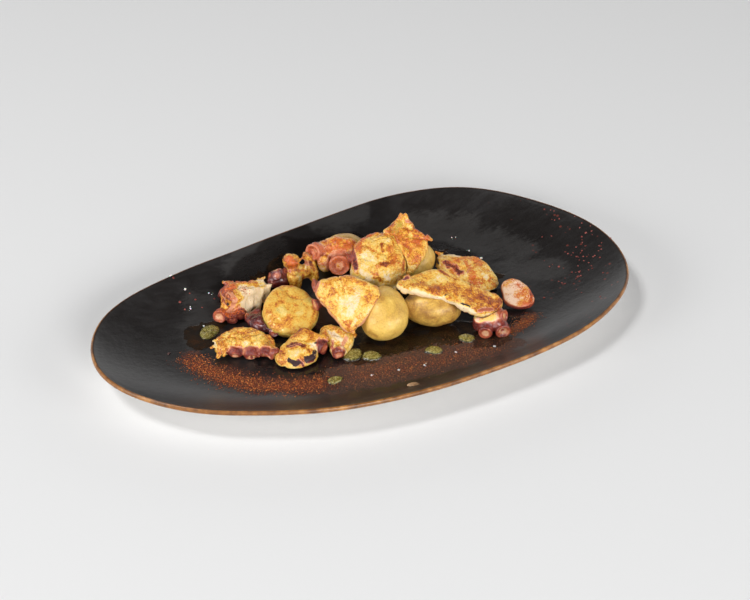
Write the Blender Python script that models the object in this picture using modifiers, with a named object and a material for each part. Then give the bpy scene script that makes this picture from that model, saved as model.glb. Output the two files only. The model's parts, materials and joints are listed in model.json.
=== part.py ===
"""Seared octopus and baby potatoes on an oval coupe plate. Metres, +Z up.

The origin is on the table under the middle of the plate, and +X runs along its length. Lengths below
are in millimetres and angles in degrees. A piece of food is turned by (heading, tilt, lean): heading
turns it about +Z, tilt raises its far edge and lean lowers its +X end.
"""

import math

import bmesh
import bpy
from mathutils import Euler, Matrix, Vector

MM = 0.001
CONTACT_GAP = 0.4

# Plate: distance from its middle to its rim, counter-clockwise from +X in equal steps.
RIM_REACH = (
    187, 175, 160.5, 134, 111, 100.5, 101, 111.5, 137.5, 176,
    186, 165, 137.5, 120.5, 110.5, 108, 113, 128.5, 155, 182,
)
PLATE_STEPS = 60
PLATE_HEIGHT = 24.0
FLOOR_HEIGHT = 6.5
FOOT_HEIGHT = 2.0
WALL = 4.5
TURNED_RADIUS = 150.0
WELL_RADIUS = 0.68 * TURNED_RADIUS
FOOT_RADIUS = 0.60 * TURNED_RADIUS
FOOT_WIDTH = 5.0
LIP_RADIUS = TURNED_RADIUS - 2 * WALL

# Food meshes: segments round a piece and rings from its top to its underside.
SLAB_SEGMENTS = 20
SLAB_RINGS = 7
POTATO_SEGMENTS = 20
POTATO_RINGS = 9
KNOB_SEGMENTS = 12
KNOB_RINGS = 7
SUCKER_SEGMENTS = 8
SUCKER_RINGS = 6

# Surface colours, with roughness.
GLAZE = ((0.020, 0.018, 0.018), 0.35)
POTATO_SKIN = ((0.62, 0.42, 0.12), 0.35)
POTATO_FLESH = ((0.78, 0.56, 0.16), 0.45)
SEARED_FLESH = ((0.74, 0.42, 0.14), 0.45)
PAPRIKA_FLESH = ((0.66, 0.24, 0.09), 0.45)
SUCKER_SKIN = ((0.24, 0.07, 0.09), 0.35)


def clear_scene():
    for item in list(bpy.data.objects):
        bpy.data.objects.remove(item, do_unlink=True)


def new_collection(name):
    collection = bpy.data.collections.new(name)
    bpy.context.scene.collection.children.link(collection)
    return collection


def material(name, colour, roughness):
    surface = bpy.data.materials.new(name)
    surface.use_nodes = True
    shader = surface.node_tree.nodes["Principled BSDF"]
    shader.inputs["Base Color"].default_value = (*colour, 1.0)
    shader.inputs["Roughness"].default_value = roughness
    shader.inputs["Metallic"].default_value = 0.0
    return surface


def new_object(name, mesh, collection):
    item = bpy.data.objects.new(name, mesh)
    collection.objects.link(item)
    return item


def turned(face):
    heading, tilt, lean = (math.radians(angle) for angle in face)
    return Matrix.Rotation(heading, 4, "Z") @ Matrix.Rotation(tilt, 4, "X") @ Matrix.Rotation(lean, 4, "Y")


def reach_at(reach, angle):
    """A smooth closed outline through equally spaced reaches, read at an angle in radians."""
    place = (angle / math.tau % 1.0) * len(reach)
    first = int(place)
    before, here, after, beyond = (reach[(first + k) % len(reach)] for k in (-1, 0, 1, 2))
    t = place - first
    slope_here = (after - before) / 2
    slope_after = (beyond - here) / 2
    rise = after - here
    return here + t * (slope_here + t * (3 * rise - 2 * slope_here - slope_after
                                         + t * (slope_here + slope_after - 2 * rise)))


# ---------------------------------------------------------------- plate

def plate_profile():
    """Half of the turned section, from the middle of the well over the rim to the middle underneath."""
    rim = TURNED_RADIUS
    slope = (PLATE_HEIGHT - FLOOR_HEIGHT) / (rim - WELL_RADIUS)
    near_rim = LIP_RADIUS - WELL_RADIUS
    return (
        (0.0, FLOOR_HEIGHT),
        (0.6 * WELL_RADIUS, FLOOR_HEIGHT),
        (WELL_RADIUS, FLOOR_HEIGHT + 0.4),
        (WELL_RADIUS + 0.4 * near_rim, FLOOR_HEIGHT + 0.32 * slope * near_rim),
        (LIP_RADIUS, FLOOR_HEIGHT + 0.93 * slope * near_rim),
        (rim - 0.6 * WALL, PLATE_HEIGHT - 0.4),
        (rim - 0.25 * WALL, PLATE_HEIGHT),
        (rim, PLATE_HEIGHT - 0.25 * WALL),
        (rim - 0.35 * WALL, PLATE_HEIGHT - 0.75 * WALL),
        (LIP_RADIUS, FLOOR_HEIGHT + 0.93 * slope * near_rim - WALL),
        (FOOT_RADIUS + 0.6 * FOOT_WIDTH, FOOT_HEIGHT),
        (FOOT_RADIUS + 0.4 * FOOT_WIDTH, 0.0),
        (FOOT_RADIUS - 0.4 * FOOT_WIDTH, 0.0),
        (FOOT_RADIUS - 0.6 * FOOT_WIDTH, FOOT_HEIGHT),
        (0.0, FOOT_HEIGHT),
    )


def rim_middle():
    """The middle of the box round the rim's outline."""
    angles = [math.tau * step / PLATE_STEPS for step in range(PLATE_STEPS)]
    points = [Vector((math.cos(angle), math.sin(angle))) * reach_at(RIM_REACH, angle) for angle in angles]
    return Vector([(max(axis) + min(axis)) / 2 for axis in zip(*points)])


def stretch_to_outline(mesh):
    """Turns the round plate into the free oval one, with the middle of its box at the origin.

    The lip keeps its width.
    """
    middle = rim_middle()
    for vertex in mesh.vertices:
        radius = vertex.co.xy.length / MM
        angle = math.atan2(vertex.co.y, vertex.co.x)
        reach = reach_at(RIM_REACH, angle)
        if radius < LIP_RADIUS:
            grown = radius * (reach - TURNED_RADIUS + LIP_RADIUS) / LIP_RADIUS
        else:
            grown = radius + reach - TURNED_RADIUS
        share = min(1.0, radius / FOOT_RADIUS)
        vertex.co.x = (grown * math.cos(angle) - middle.x * share) * MM
        vertex.co.y = (grown * math.sin(angle) - middle.y * share) * MM


def build_plate(collection):
    profile = [Vector((radius * MM, 0.0, height * MM)) for radius, height in plate_profile()]
    mesh = bpy.data.meshes.new("plate_profile")
    mesh.from_pydata(profile, [(k, k + 1) for k in range(len(profile) - 1)], [])
    turning = new_object("plate_turning", mesh, collection)
    screw = turning.modifiers.new("turn", "SCREW")
    screw.steps = PLATE_STEPS
    screw.render_steps = PLATE_STEPS
    screw.use_merge_vertices = True
    screw.merge_threshold = 0.00001
    turned_mesh = evaluated_mesh(turning)
    bpy.data.objects.remove(turning)
    stretch_to_outline(turned_mesh)
    plate = new_object("plate", turned_mesh, collection)
    finish(plate, GLAZE)
    return plate


# ---------------------------------------------------------------- forms of the food

def evaluated_mesh(item):
    graph = bpy.context.evaluated_depsgraph_get()
    return bpy.data.meshes.new_from_object(item.evaluated_get(graph))


def ball(segments, rings, place):
    """A UV sphere of radius 1 whose points are moved by place(point), in millimetres."""
    shape = bmesh.new()
    bmesh.ops.create_uvsphere(shape, u_segments=segments, v_segments=rings, radius=1.0)
    for vertex in shape.verts:
        vertex.co = place(vertex.co) * MM
    bmesh.ops.recalc_face_normals(shape, faces=shape.faces)
    mesh = bpy.data.meshes.new("form")
    shape.to_mesh(mesh)
    shape.free()
    return mesh


def slab(at, face, reach, thick, edge=0.5, dome=0.0, droop=0.0):
    """A thick slice: at is the middle of its upper face, reach its outline, and a low edge squares it.

    dome lifts the middle of both faces and droop lowers the two X ends.
    """
    turn = turned(face)
    widest = max(reach)

    def place(point):
        flat = point.xy.length ** edge
        level = math.copysign(abs(point.z) ** edge, point.z)
        outline = reach_at(reach, math.atan2(point.y, point.x)) * flat
        direction = point.xy.normalized() if point.xy.length > 1e-6 else Vector((0.0, 0.0))
        x, y = direction * outline
        z = (level - 1) * thick / 2 + dome * (1 - flat * flat) - droop * (x / widest) ** 2
        return turn @ Vector((x, y, z)) + Vector(at)

    return ball(SLAB_SEGMENTS, SLAB_RINGS, place)


def potato(at, face, half, point=0.0, waist=0.0):
    """A waxy baby potato with the given half axes. point narrows its +Z end, waist its -X end."""
    turn = turned(face)

    def place(unit):
        narrow = 1 - point * max(0.0, unit.z) ** 2
        slim = 1 + waist * unit.x
        local = Vector((unit.x * half[0] * narrow, unit.y * half[1] * narrow * slim, unit.z * half[2] * slim))
        return turn @ local + Vector(at)

    return ball(POTATO_SEGMENTS, POTATO_RINGS, place)


def knob(at, face, half):
    """A plain rounded lump of flesh with the given half axes."""
    turn = turned(face)
    return ball(KNOB_SEGMENTS, KNOB_RINGS, lambda unit: turn @ (unit * Vector(half)) + Vector(at))


def sucker(at, heading, pitch, radius, length=1.3):
    """A suction cup whose mouth is centred on at and looks along heading, raised by pitch."""
    out = Euler((0.0, math.radians(90 - pitch), math.radians(heading))).to_matrix()

    def place(unit):
        wide = unit.xy * radius
        deep = unit.z * radius
        if unit.z > 0.97:
            deep = 0.35 * radius
        elif unit.z > 0.8:
            wide = wide * 1.35
            deep = 0.85 * radius
        elif unit.z < 0:
            wide = wide * 0.8
            deep = unit.z * radius * length
        return out @ Vector((wide.x, wide.y, deep - 0.8 * radius)) + Vector(at)

    return ball(SUCKER_SEGMENTS, SUCKER_RINGS, place)


# ---------------------------------------------------------------- joining and trimming

def boolean(item, other, operation):
    modifier = item.modifiers.new(operation.lower(), "BOOLEAN")
    modifier.operation = operation
    modifier.solver = "EXACT"
    modifier.object = other
    mesh = evaluated_mesh(item)
    item.modifiers.clear()
    item.data = mesh


def boxes_meet(first, second):
    def box(item):
        return [(min(axis), max(axis)) for axis in zip(*(vertex.co for vertex in item.data.vertices))]
    margin = CONTACT_GAP * MM
    return all(a[0] < b[1] + margin and b[0] < a[1] + margin for a, b in zip(box(first), box(second)))


def grown_copy(item, collection):
    """The piece with its surface moved out by the contact gap."""
    shape = bmesh.new()
    shape.from_mesh(item.data)
    shape.normal_update()
    for vertex in shape.verts:
        vertex.co += vertex.normal * CONTACT_GAP * MM
    mesh = bpy.data.meshes.new("grown")
    shape.to_mesh(mesh)
    shape.free()
    copy = new_object(item.name + "_grown", mesh, collection)
    copy.hide_render = True
    copy.display_type = "WIRE"
    return copy


def islands(shape):
    waiting = set(shape.faces)
    while waiting:
        island = {waiting.pop()}
        front = set(island)
        while front:
            front = {face for one in front for edge in one.edges for face in edge.link_faces} - island
            island |= front
        waiting -= island
        yield island


def volume(island):
    total = 0.0
    for face in island:
        first, *rest = (vertex.co for vertex in face.verts)
        total += sum(first.dot(a.cross(b)) for a, b in zip(rest, rest[1:])) / 6
    return total


def keep_largest_body(item):
    shape = bmesh.new()
    shape.from_mesh(item.data)
    bmesh.ops.dissolve_degenerate(shape, dist=0.00001, edges=shape.edges)
    bodies = sorted(islands(shape), key=volume)
    loose = [face for body in bodies[:-1] for face in body]
    bmesh.ops.delete(shape, geom=loose, context="FACES")
    bmesh.ops.triangulate(shape, faces=shape.faces)
    shape.to_mesh(item.data)
    shape.free()


def finish(item, surface):
    item.data.materials.clear()
    item.data.materials.append(material(item.name, *surface))
    item.data.shade_smooth()
    item.data.set_sharp_from_angle(angle=math.radians(50))


def build_piece(name, surface, forms, earlier, collection, cutters):
    """Joins the forms into one body and trims it clear of every piece it leans on."""
    piece = new_object(name, forms[0], collection)
    for form in forms[1:]:
        part = new_object("form", form, cutters)
        boolean(piece, part, "UNION")
        bpy.data.objects.remove(part)
    for neighbour, grown in earlier:
        if boxes_meet(piece, neighbour):
            boolean(piece, grown, "DIFFERENCE")
    keep_largest_body(piece)
    finish(piece, surface)
    earlier.append((piece, grown_copy(piece, cutters)))


# ---------------------------------------------------------------- the dish

def potatoes():
    yield "potato_whole", POTATO_SKIN, [potato((35, -26, 18.7), (-30, 0, 4), (20, 13.5, 12), waist=-0.06)]
    yield "potato_back", POTATO_SKIN, [potato((12, 62, 19.0), (-10, 0, 0), (17, 14, 12.2), waist=0.05)]
    yield "potato_middle", POTATO_SKIN, [potato((50, 28, 19.8), (20, 0, 0), (17, 14, 13), waist=0.05)]
    yield "potato_half", POTATO_SKIN, [potato((2, -21, 21.5), (-27, -72, 0), (16.5, 14.5, 21), point=0.35)]
    yield "potato_slice", POTATO_FLESH, [
        slab((-50, 15, 20), (-27, 16, 0), (19, 18, 19, 21, 22, 19, 19, 19, 20, 21, 22, 20), 9, edge=0.4, dome=0.8),
    ]


def left_pieces():
    yield "octopus_arm_left", SEARED_FLESH, [
        slab((-69, 45, 24), (10, 6, 0), (17, 11, 9, 12, 15, 15, 16, 14, 8, 7, 8, 12), 17, edge=0.36),
        slab((-83, 44, 17), (-27, 34, 0), (5, 7, 12, 12, 6, 5, 8, 13, 11, 6), 9, edge=0.5),
        sucker((-92, 36, 13), -130, 10, 4.6),
        sucker((-85, 31, 11), -115, 0, 4.0),
        sucker((-78, 33, 11), -100, -5, 4.0),
        sucker((-80, 60, 13), 110, 10, 4.2),
        sucker((-66, 59, 14), 95, 10, 4.2),
    ]
    yield "octopus_suckers_back", SUCKER_SKIN, [
        slab((-39, 60, 16), (-27, 10, 0), (9, 8, 8, 7, 8, 7, 9, 9, 8, 9), 9.5, edge=0.6, dome=1.0),
        sucker((-41, 57, 17.5), -140, 50, 3.6),
        sucker((-33, 59, 17.5), -80, 60, 3.6),
        sucker((-44, 62, 14.5), 170, 20, 3.4),
    ]
    yield "octopus_arm_tip", SEARED_FLESH, [
        knob((-31, 54, 28), (-27, 20, 0), (6, 6, 6)),
        knob((-30, 51, 17), (-27, -6, -6), (5.5, 6, 11)),
        slab((-21, 47, 24), (-27, 78, 0), (5, 6, 8, 12, 5, 4, 4, 6, 13, 8), 3.5, edge=0.6),
        knob((-25, 50, 20), (-27, 0, 0), (8, 4.5, 6)),
    ]
    yield "octopus_suckers_under", SUCKER_SKIN, [
        slab((-70, 20, 13.5), (-64, 8, 0), (15, 11, 8, 8, 9, 12, 14, 10, 7, 7, 8, 11), 6.5, edge=0.6, dome=1.0),
        sucker((-69, 28, 13.5), -130, 50, 4.0),
        sucker((-72, 17, 12.5), -150, 40, 4.0),
        sucker((-66, 6, 11.5), -120, 40, 3.8),
    ]


def middle_pieces():
    yield "octopus_arm_back", PAPRIKA_FLESH, [
        slab((-2, 46, 35), (-27, 32, 0), (16, 17, 12, 11, 11, 13, 17, 14, 10, 7, 8, 14), 19, edge=0.5, dome=1.5),
        sucker((-3, 36, 27.5), -117, 15, 7.2, length=1.6),
        sucker((-16, 50, 34), -150, 10, 5.8, length=1.6),
        knob((-11, 44, 26), (-27, 20, 0), (5, 4, 8)),
    ]
    yield "octopus_front_middle", SEARED_FLESH, [
        slab((-34, -23, 15), (-27, 15, 0), (11, 12, 11, 11, 14, 13, 8, 7, 8, 16, 12, 10), 8, edge=0.5, dome=1.0),
        sucker((-38, -36, 11.5), -110, 0, 4.2),
    ]
    yield "octopus_slice_front", SEARED_FLESH, [
        slab((-21, -18, 35), (-27, 36, 0), (17, 22, 19, 20, 22, 27, 18, 14, 15, 19, 15, 14), 9,
             edge=0.42, dome=1.0),
        sucker((-36, 4, 25), -175, -5, 4.6),
        sucker((-32, 13, 33), 170, 5, 4.6),
    ]
    yield "octopus_slice_upper", SEARED_FLESH, [
        slab((19, 21, 37.5), (-27, 22, 0), (19, 18, 21, 24, 21, 20, 19, 21, 19, 18, 23, 22), 19,
             edge=0.45, dome=2.0),
        sucker((2, 33, 33), 165, 0, 4.0),
    ]
    yield "octopus_slice_back", SEARED_FLESH, [
        slab((41, 20, 38.5), (-20, 28, 0), (15, 17, 17, 26, 21, 22, 19, 19, 19, 20, 15, 14), 9,
             edge=0.42, dome=1.0),
    ]


def right_pieces():
    yield "octopus_slab_long", SEARED_FLESH, [
        slab((47, -31, 33.5), (-26, 12, 15), (37, 20, 15, 15, 17, 20, 22, 26, 37, 18, 11, 10, 10, 12, 24, 32),
             7, edge=0.34, droop=1.5),
    ]
    yield "octopus_slice_right", SEARED_FLESH, [
        slab((81, 5, 18), (-49, 8, 16), (25, 19, 16, 15, 12, 16, 27, 18, 14, 12, 14, 22), 8,
             edge=0.42, dome=1.0, droop=2.0),
    ]
    yield "octopus_disc_right", PAPRIKA_FLESH, [
        slab((98, -33, 16), (-27, 20, 0), (10, 9, 10, 13, 13, 10, 11, 11, 12, 13), 6, edge=0.36, dome=0.5),
    ]
    yield "octopus_suckers_right", SUCKER_SKIN, [
        slab((64, -50, 20.5), (-27, 14, 0), (12, 12, 10, 8, 8, 9, 11, 9, 8, 9), 13, edge=0.5),
        sucker((58, -58, 11.5), -125, -5, 5.0),
        sucker((69, -62, 11.5), -105, -5, 5.4),
        sucker((74, -54, 17), -60, 15, 4.4),
    ]


def front_pieces():
    yield "octopus_arm_front_left", SEARED_FLESH, [
        slab((-88, 1, 16.5), (-27, 12, 0), (19, 14, 11, 11, 13, 16, 21, 20, 9, 8, 9, 19), 8,
             edge=0.5, dome=2.0),
        sucker((-99, -5, 10.5), -120, -15, 4.4),
        sucker((-90, -11, 10.5), -112, -15, 4.8),
        sucker((-81.5, -13, 10.5), -115, -15, 3.9),
        sucker((-75, -18, 11), -100, -10, 3.9),
    ]
    yield "octopus_arm_front", SEARED_FLESH, [
        slab((-60, -24, 15.5), (-27, 22, 0), (11, 18, 16, 17, 13, 12, 15, 18, 17, 14, 12, 12), 9,
             edge=0.42, dome=1.5),
        sucker((-45, -27, 12), -80, 5, 4.8),
    ]


def build_dish():
    clear_scene()
    dish = new_collection("octopus_dish")
    cutters = new_collection("octopus_dish_cutters")
    cutters.hide_render = True
    plate = build_plate(dish)
    earlier = [(plate, grown_copy(plate, cutters))]
    for course in (potatoes, left_pieces, right_pieces, middle_pieces, front_pieces):
        for name, surface, forms in course():
            build_piece(name, surface, forms, earlier, dish, cutters)
    origin = bpy.data.objects.new("octopus_dish_origin", None)
    dish.objects.link(origin)
    for item in list(dish.objects):
        if item is not origin:
            item.parent = origin


build_dish()
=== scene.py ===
# %% [markdown]
# # Seared octopus and baby potatoes on a dark oval plate
#
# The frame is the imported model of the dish: a plate and twenty pieces of food, each a plain closed solid
# in its real place. This script gives every one of them its looks. The plain solids say where a piece is
# and what it leans on, so each finished piece of food starts from its solid's own shape and stays close
# to it.

# %% Load the frame and measure it
import itertools
import json
import math
import random

import bmesh
import bpy
import numpy as np
from mathutils import Matrix, Vector
from mathutils.bvhtree import BVHTree

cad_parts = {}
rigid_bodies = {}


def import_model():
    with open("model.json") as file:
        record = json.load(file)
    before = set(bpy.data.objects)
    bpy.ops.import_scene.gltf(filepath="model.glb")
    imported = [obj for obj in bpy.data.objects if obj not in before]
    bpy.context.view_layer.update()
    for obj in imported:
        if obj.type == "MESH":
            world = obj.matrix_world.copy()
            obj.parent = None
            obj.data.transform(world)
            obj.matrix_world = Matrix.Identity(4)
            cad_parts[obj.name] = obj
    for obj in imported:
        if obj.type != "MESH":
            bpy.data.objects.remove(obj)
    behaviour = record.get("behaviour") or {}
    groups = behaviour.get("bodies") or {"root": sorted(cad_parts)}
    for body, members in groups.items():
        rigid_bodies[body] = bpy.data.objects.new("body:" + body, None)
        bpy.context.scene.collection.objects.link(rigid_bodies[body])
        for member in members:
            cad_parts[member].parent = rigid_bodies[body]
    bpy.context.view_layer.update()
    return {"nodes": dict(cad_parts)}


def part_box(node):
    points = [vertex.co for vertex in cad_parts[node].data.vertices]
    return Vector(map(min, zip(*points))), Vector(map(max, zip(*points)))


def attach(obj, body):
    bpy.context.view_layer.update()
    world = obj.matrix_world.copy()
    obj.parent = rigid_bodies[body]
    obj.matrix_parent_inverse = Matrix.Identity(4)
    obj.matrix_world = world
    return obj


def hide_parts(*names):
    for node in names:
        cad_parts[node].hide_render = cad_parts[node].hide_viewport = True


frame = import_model()
MM = 0.001


# %% [markdown]
# ## A mesh as a table of numbers
#
# A cooked surface has tens of thousands of points. They could be moved one vertex at a time, but moving them
# all as one table is a hundred times quicker. A paint layer is a second table: one number from 0 to 1 at
# each point, which a material reads later to know where the surface is seared, burnt or wet.

# %% Tables of points and paint layers
def linked(name, data):
    """A new object in the scene, at the origin, for a mesh, lamp or camera."""
    item = bpy.data.objects.new(name, data)
    bpy.context.scene.collection.objects.link(item)
    return item


def table_of(items, value):
    """One row of three numbers for each item."""
    flat = np.empty(len(items) * 3, np.float32)
    items.foreach_get(value, flat)
    return flat.reshape(-1, 3).astype(float)


def points_of(mesh):
    return table_of(mesh.vertices, "co")


def normals_of(mesh):
    return table_of(mesh.vertex_normals, "vector")


def set_points(mesh, points):
    mesh.vertices.foreach_set("co", points.astype(np.float32).ravel())
    mesh.update()


def set_paint(mesh, name, values):
    layer = mesh.attributes.new(name, "FLOAT", "POINT")
    layer.data.foreach_set("value", np.clip(values, 0, 1).astype(np.float32))


print("the plain plate has", len(points_of(frame["nodes"]["plate"].data)), "points")


# %% [markdown]
# ## Uneven forms
#
# Nothing on the plate is even. A texture could shake the points, but its values can't be read back for
# painting. So the noise is worked out here: a random number at every corner of a grid, blended smoothly in
# between, at several sizes on top of each other. The same lumps then shape a piece and colour it.

# %% Lumps
def lattice(cells, seed):
    """A number from -1 to 1 for each cell of a grid."""
    mixed = (cells[:, 0] * 73856093) ^ (cells[:, 1] * 19349663) ^ (cells[:, 2] * 83492791) ^ (seed * 26544357)
    mixed = ((mixed & 0xFFFFFFFF) ^ ((mixed & 0xFFFFFFFF) >> 13)) * 1274126177 & 0xFFFFFFFF
    return ((mixed ^ (mixed >> 16)) & 0xFFFF) / 32767.5 - 1


def lumps(points, size, seed=0, octaves=1):
    """Smooth noise from -1 to 1 whose lumps are about size millimetres across."""
    total = 0.0
    for octave in range(octaves):
        place = points / (size * MM * 0.5 ** octave)
        base = np.floor(place).astype(np.int64)
        part = place - base
        part = part * part * (3 - 2 * part)
        for corner in itertools.product((0, 1), repeat=3):
            share = np.prod(np.where(corner, part, 1 - part), axis=1)
            total = total + share * lattice(base + corner, seed + octave) * 0.5 ** octave
    return total


ruler = np.column_stack([np.linspace(0, 100 * MM, 400), np.zeros(400), np.zeros(400)])
print("10 mm lumps along 100 mm:", *(round(float(value), 2) for value in lumps(ruler, 10)[::80]))


# %% [markdown]
# ## Soft masks and distances
#
# Browning fades in and out. A mask says how far each point is inside a region, with a smooth step at its
# border. Most regions follow a short path over the surface, so the distance from a path is what a mask
# starts from.

# %% Masks and paths
def ramp(values, low, high):
    """0 below low, 1 above high and a smooth step between."""
    part = np.clip((values - low) / (high - low), 0, 1)
    return part * part * (3 - 2 * part)


def along(points, path):
    """Each point's distance from a path through the given places, in metres."""
    path = [np.array(place, float) for place in path]
    if len(path) == 1:
        return np.linalg.norm(points - path[0], axis=1)
    nearest = np.full(len(points), np.inf)
    for start, end in zip(path, path[1:]):
        step = end - start
        part = np.clip((points - start) @ step / (step @ step), 0, 1)
        nearest = np.minimum(nearest, np.linalg.norm(points - start - part[:, None] * step, axis=1))
    return nearest


print("a mask across its border:", *(round(float(value), 2) for value in ramp(np.linspace(0, 1, 5), 0, 1)))


# %% [markdown]
# ## Turns and modifiers
#
# Each flat piece of food faces its own way. The rotation is kept apart from the mesh, because only the
# question "does this point face up?" needs it. Modifiers do the heavy shaping, and they are applied at
# once, so that every later step works on real points.

# %% Turns and modifiers
def turned(face):
    """The rotation of a piece from its (heading, tilt, lean) in degrees."""
    heading, tilt, lean = (math.radians(angle) for angle in face)
    return Matrix.Rotation(heading, 3, "Z") @ Matrix.Rotation(tilt, 3, "X") @ Matrix.Rotation(lean, 3, "Y")


def with_modifiers(mesh, *settings):
    """The mesh after a stack of modifiers, each given as (type, values)."""
    item = linked("work", mesh)
    for kind, values in settings:
        modifier = item.modifiers.new(kind, kind)
        for name, value in values.items():
            setattr(modifier, name, value)
    graph = bpy.context.evaluated_depsgraph_get()
    made = bpy.data.meshes.new_from_object(item.evaluated_get(graph))
    bpy.data.objects.remove(item)
    return made


print("a face tilted by 20 degrees looks along", [round(value, 2) for value in turned((0, 20, 0)).col[2]])


# %% [markdown]
# ## Small tools for nodes
#
# A material is a tree of nodes. Placing and wiring each node by hand would take pages, so a few helpers
# do it: every input may be a plain number, a colour or the output of another node, and the helper sets the
# value or draws the wire.

# %% Wiring, arithmetic and blending
def wire(tree, value, socket):
    """Links an output to a socket, or sets the socket to a plain value."""
    if isinstance(value, bpy.types.NodeSocket):
        tree.links.new(value, socket)
    else:
        socket.default_value = value


def wire_named(tree, inputs, sockets):
    for name, value in inputs.items():
        wire(tree, value, sockets[name.replace("_", " ")])


def add_node(tree, kind, settings=None, **inputs):
    """Adds a shader node. Its inputs are named with _ for a space."""
    made = tree.nodes.new("ShaderNode" + kind)
    for name, value in (settings or {}).items():
        setattr(made, name, value)
    wire_named(tree, inputs, made.inputs)
    return made


def calc(tree, operation, *values, clamp=False):
    made = add_node(tree, "Math", {"operation": operation, "use_clamp": clamp})
    for socket, value in zip(made.inputs, values):
        wire(tree, value, socket)
    return made.outputs[0]


def scaled(tree, value, factor, offset):
    """value * factor + offset."""
    return calc(tree, "MULTIPLY_ADD", value, factor, offset)


def blend(tree, share, first, second):
    """The first colour where share is 0, the second where it is 1."""
    made = add_node(tree, "Mix", {"data_type": "RGBA"})
    for place, value in ((0, share), (6, first), (7, second)):
        plain_colour = place and not isinstance(value, bpy.types.NodeSocket)
        wire(tree, (*value, 1.0) if plain_colour else value, made.inputs[place])
    return made.outputs[2]


print("node helpers: wire, add_node, calc, scaled, blend")


# %% [markdown]
# ## Ramps and noise
#
# Colours in food run through a range, so a ramp turns one number into a colour. The number comes from
# noise whose size is given in millimetres, because a crumb of crust is a millimetre across whatever piece
# it sits on. A smooth step cuts clear patches out of soft noise.

# %% Ramps and noise
def colour_ramp(tree, share, stops):
    made = tree.nodes.new("ShaderNodeValToRGB")
    elements = made.color_ramp.elements
    while len(elements) < len(stops):
        elements.new(0.5)
    for element, (place, colour) in zip(elements, stops):
        element.position = place
        element.color = (*colour, 1.0)
    tree.links.new(share, made.inputs[0])
    return made.outputs[0]


def step_between(tree, value, low, high):
    """0 where the value is below low, 1 where it is above high, or the other way round if low is higher."""
    made = add_node(tree, "MapRange", {"interpolation_type": "SMOOTHSTEP"})
    for socket, number in zip(made.inputs, (value, low, high, 0.0, 1.0)):
        wire(tree, number, socket)
    return made.outputs[0]


def noise(tree, vector, size, detail=3.0, roughness=0.55, warp=0.0):
    """Noise whose lumps are about size millimetres across."""
    return add_node(tree, "TexNoise", Vector=vector, Scale=1 / (size * MM), Detail=detail,
                    Roughness=roughness, Distortion=warp).outputs["Fac"]


def cell_distance(tree, vector, size):
    """The distance from the middle of cells about size millimetres across, for freckles and pores."""
    return add_node(tree, "TexVoronoi", Vector=vector, Scale=1 / (size * MM)).outputs["Distance"]


print("noise 5 mm across has a scale of", round(1 / (5 * MM)))


# %% [markdown]
# ## Groups and materials
#
# An effect that several materials share is a node group with named sockets: it is built once, and each
# material says how much of it there is. Every pattern reads Object coordinates, so it sits still on the
# piece and doesn't stretch.

# %% Groups and materials
def new_group(name, inputs, outputs):
    """An empty node group with the given sockets, as (name, type) or (name, type, default)."""
    tree = bpy.data.node_groups.new(name, "ShaderNodeTree")
    for label, kind, *default in inputs:
        socket = tree.interface.new_socket(label, in_out="INPUT", socket_type="NodeSocket" + kind)
        if default:
            socket.default_value = default[0]
    for label, kind in outputs:
        tree.interface.new_socket(label, in_out="OUTPUT", socket_type="NodeSocket" + kind)
    return tree, tree.nodes.new("NodeGroupInput").outputs, tree.nodes.new("NodeGroupOutput").inputs


def use_group(tree, group, **inputs):
    made = add_node(tree, "Group", {"node_tree": group})
    wire_named(tree, inputs, made.inputs)
    return made.outputs


def new_material(name):
    made = bpy.data.materials.new(name)
    made.use_nodes = True
    tree = made.node_tree
    shader = tree.nodes["Principled BSDF"]
    place = tree.nodes.new("ShaderNodeTexCoord").outputs["Object"]
    return made, tree, shader, place


def painted(tree, layer):
    """A paint layer of the mesh, from 0 to 1."""
    return add_node(tree, "Attribute", {"attribute_name": layer}).outputs["Fac"]


def finish_shader(tree, shader, colour, roughness, height, relief, **settings):
    """Wires in the three patterns, with relief in millimetres, and sets what is the same all over."""
    made = add_node(tree, "Bump", Strength=1.0, Distance=relief * MM, Height=height)
    patterns = {"Base_Color": colour, "Roughness": roughness, "Normal": made.outputs["Normal"]}
    wire_named(tree, {**patterns, **settings}, shader.inputs)


print("materials that came with the frame:", len(bpy.data.materials))


# %% [markdown]
# ## Cooked flesh
#
# Octopus that is boiled and then seared goes from cream through gold and orange to dark brown, in fine
# speckles a millimetre across, because the crust browns on its high spots first. Where the skin is left
# it is purple and pink. One group holds that whole range: the paint layers of a mesh say how far each
# place is browned, and the group breaks them up into speckles and adds the spice that sticks to it.

# %% The browning group
LAYERS = ("sear", "skin", "char", "spice", "olive")
BROWN_STOPS = (
    (0.34, (0.88, 0.55, 0.10)), (0.46, (0.82, 0.42, 0.045)), (0.60, (0.68, 0.235, 0.020)),
    (0.74, (0.46, 0.105, 0.016)), (0.88, (0.25, 0.044, 0.010)), (1.0, (0.11, 0.018, 0.007)),
)
SKIN_STOPS = (
    (0.0, (0.86, 0.56, 0.38)), (0.26, (0.76, 0.34, 0.18)), (0.50, (0.55, 0.135, 0.060)),
    (0.78, (0.23, 0.036, 0.028)), (1.0, (0.07, 0.012, 0.014)),
)
OLIVE, PAPRIKA_RED = (0.50, 0.36, 0.05), (0.64, 0.125, 0.018)
PEPPER_BROWN, BURNT = (0.16, 0.055, 0.02), (0.034, 0.008, 0.009)
FLESH = (0.89, 0.70, 0.45)
GOLD = (0.91, 0.61, 0.145)


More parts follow.
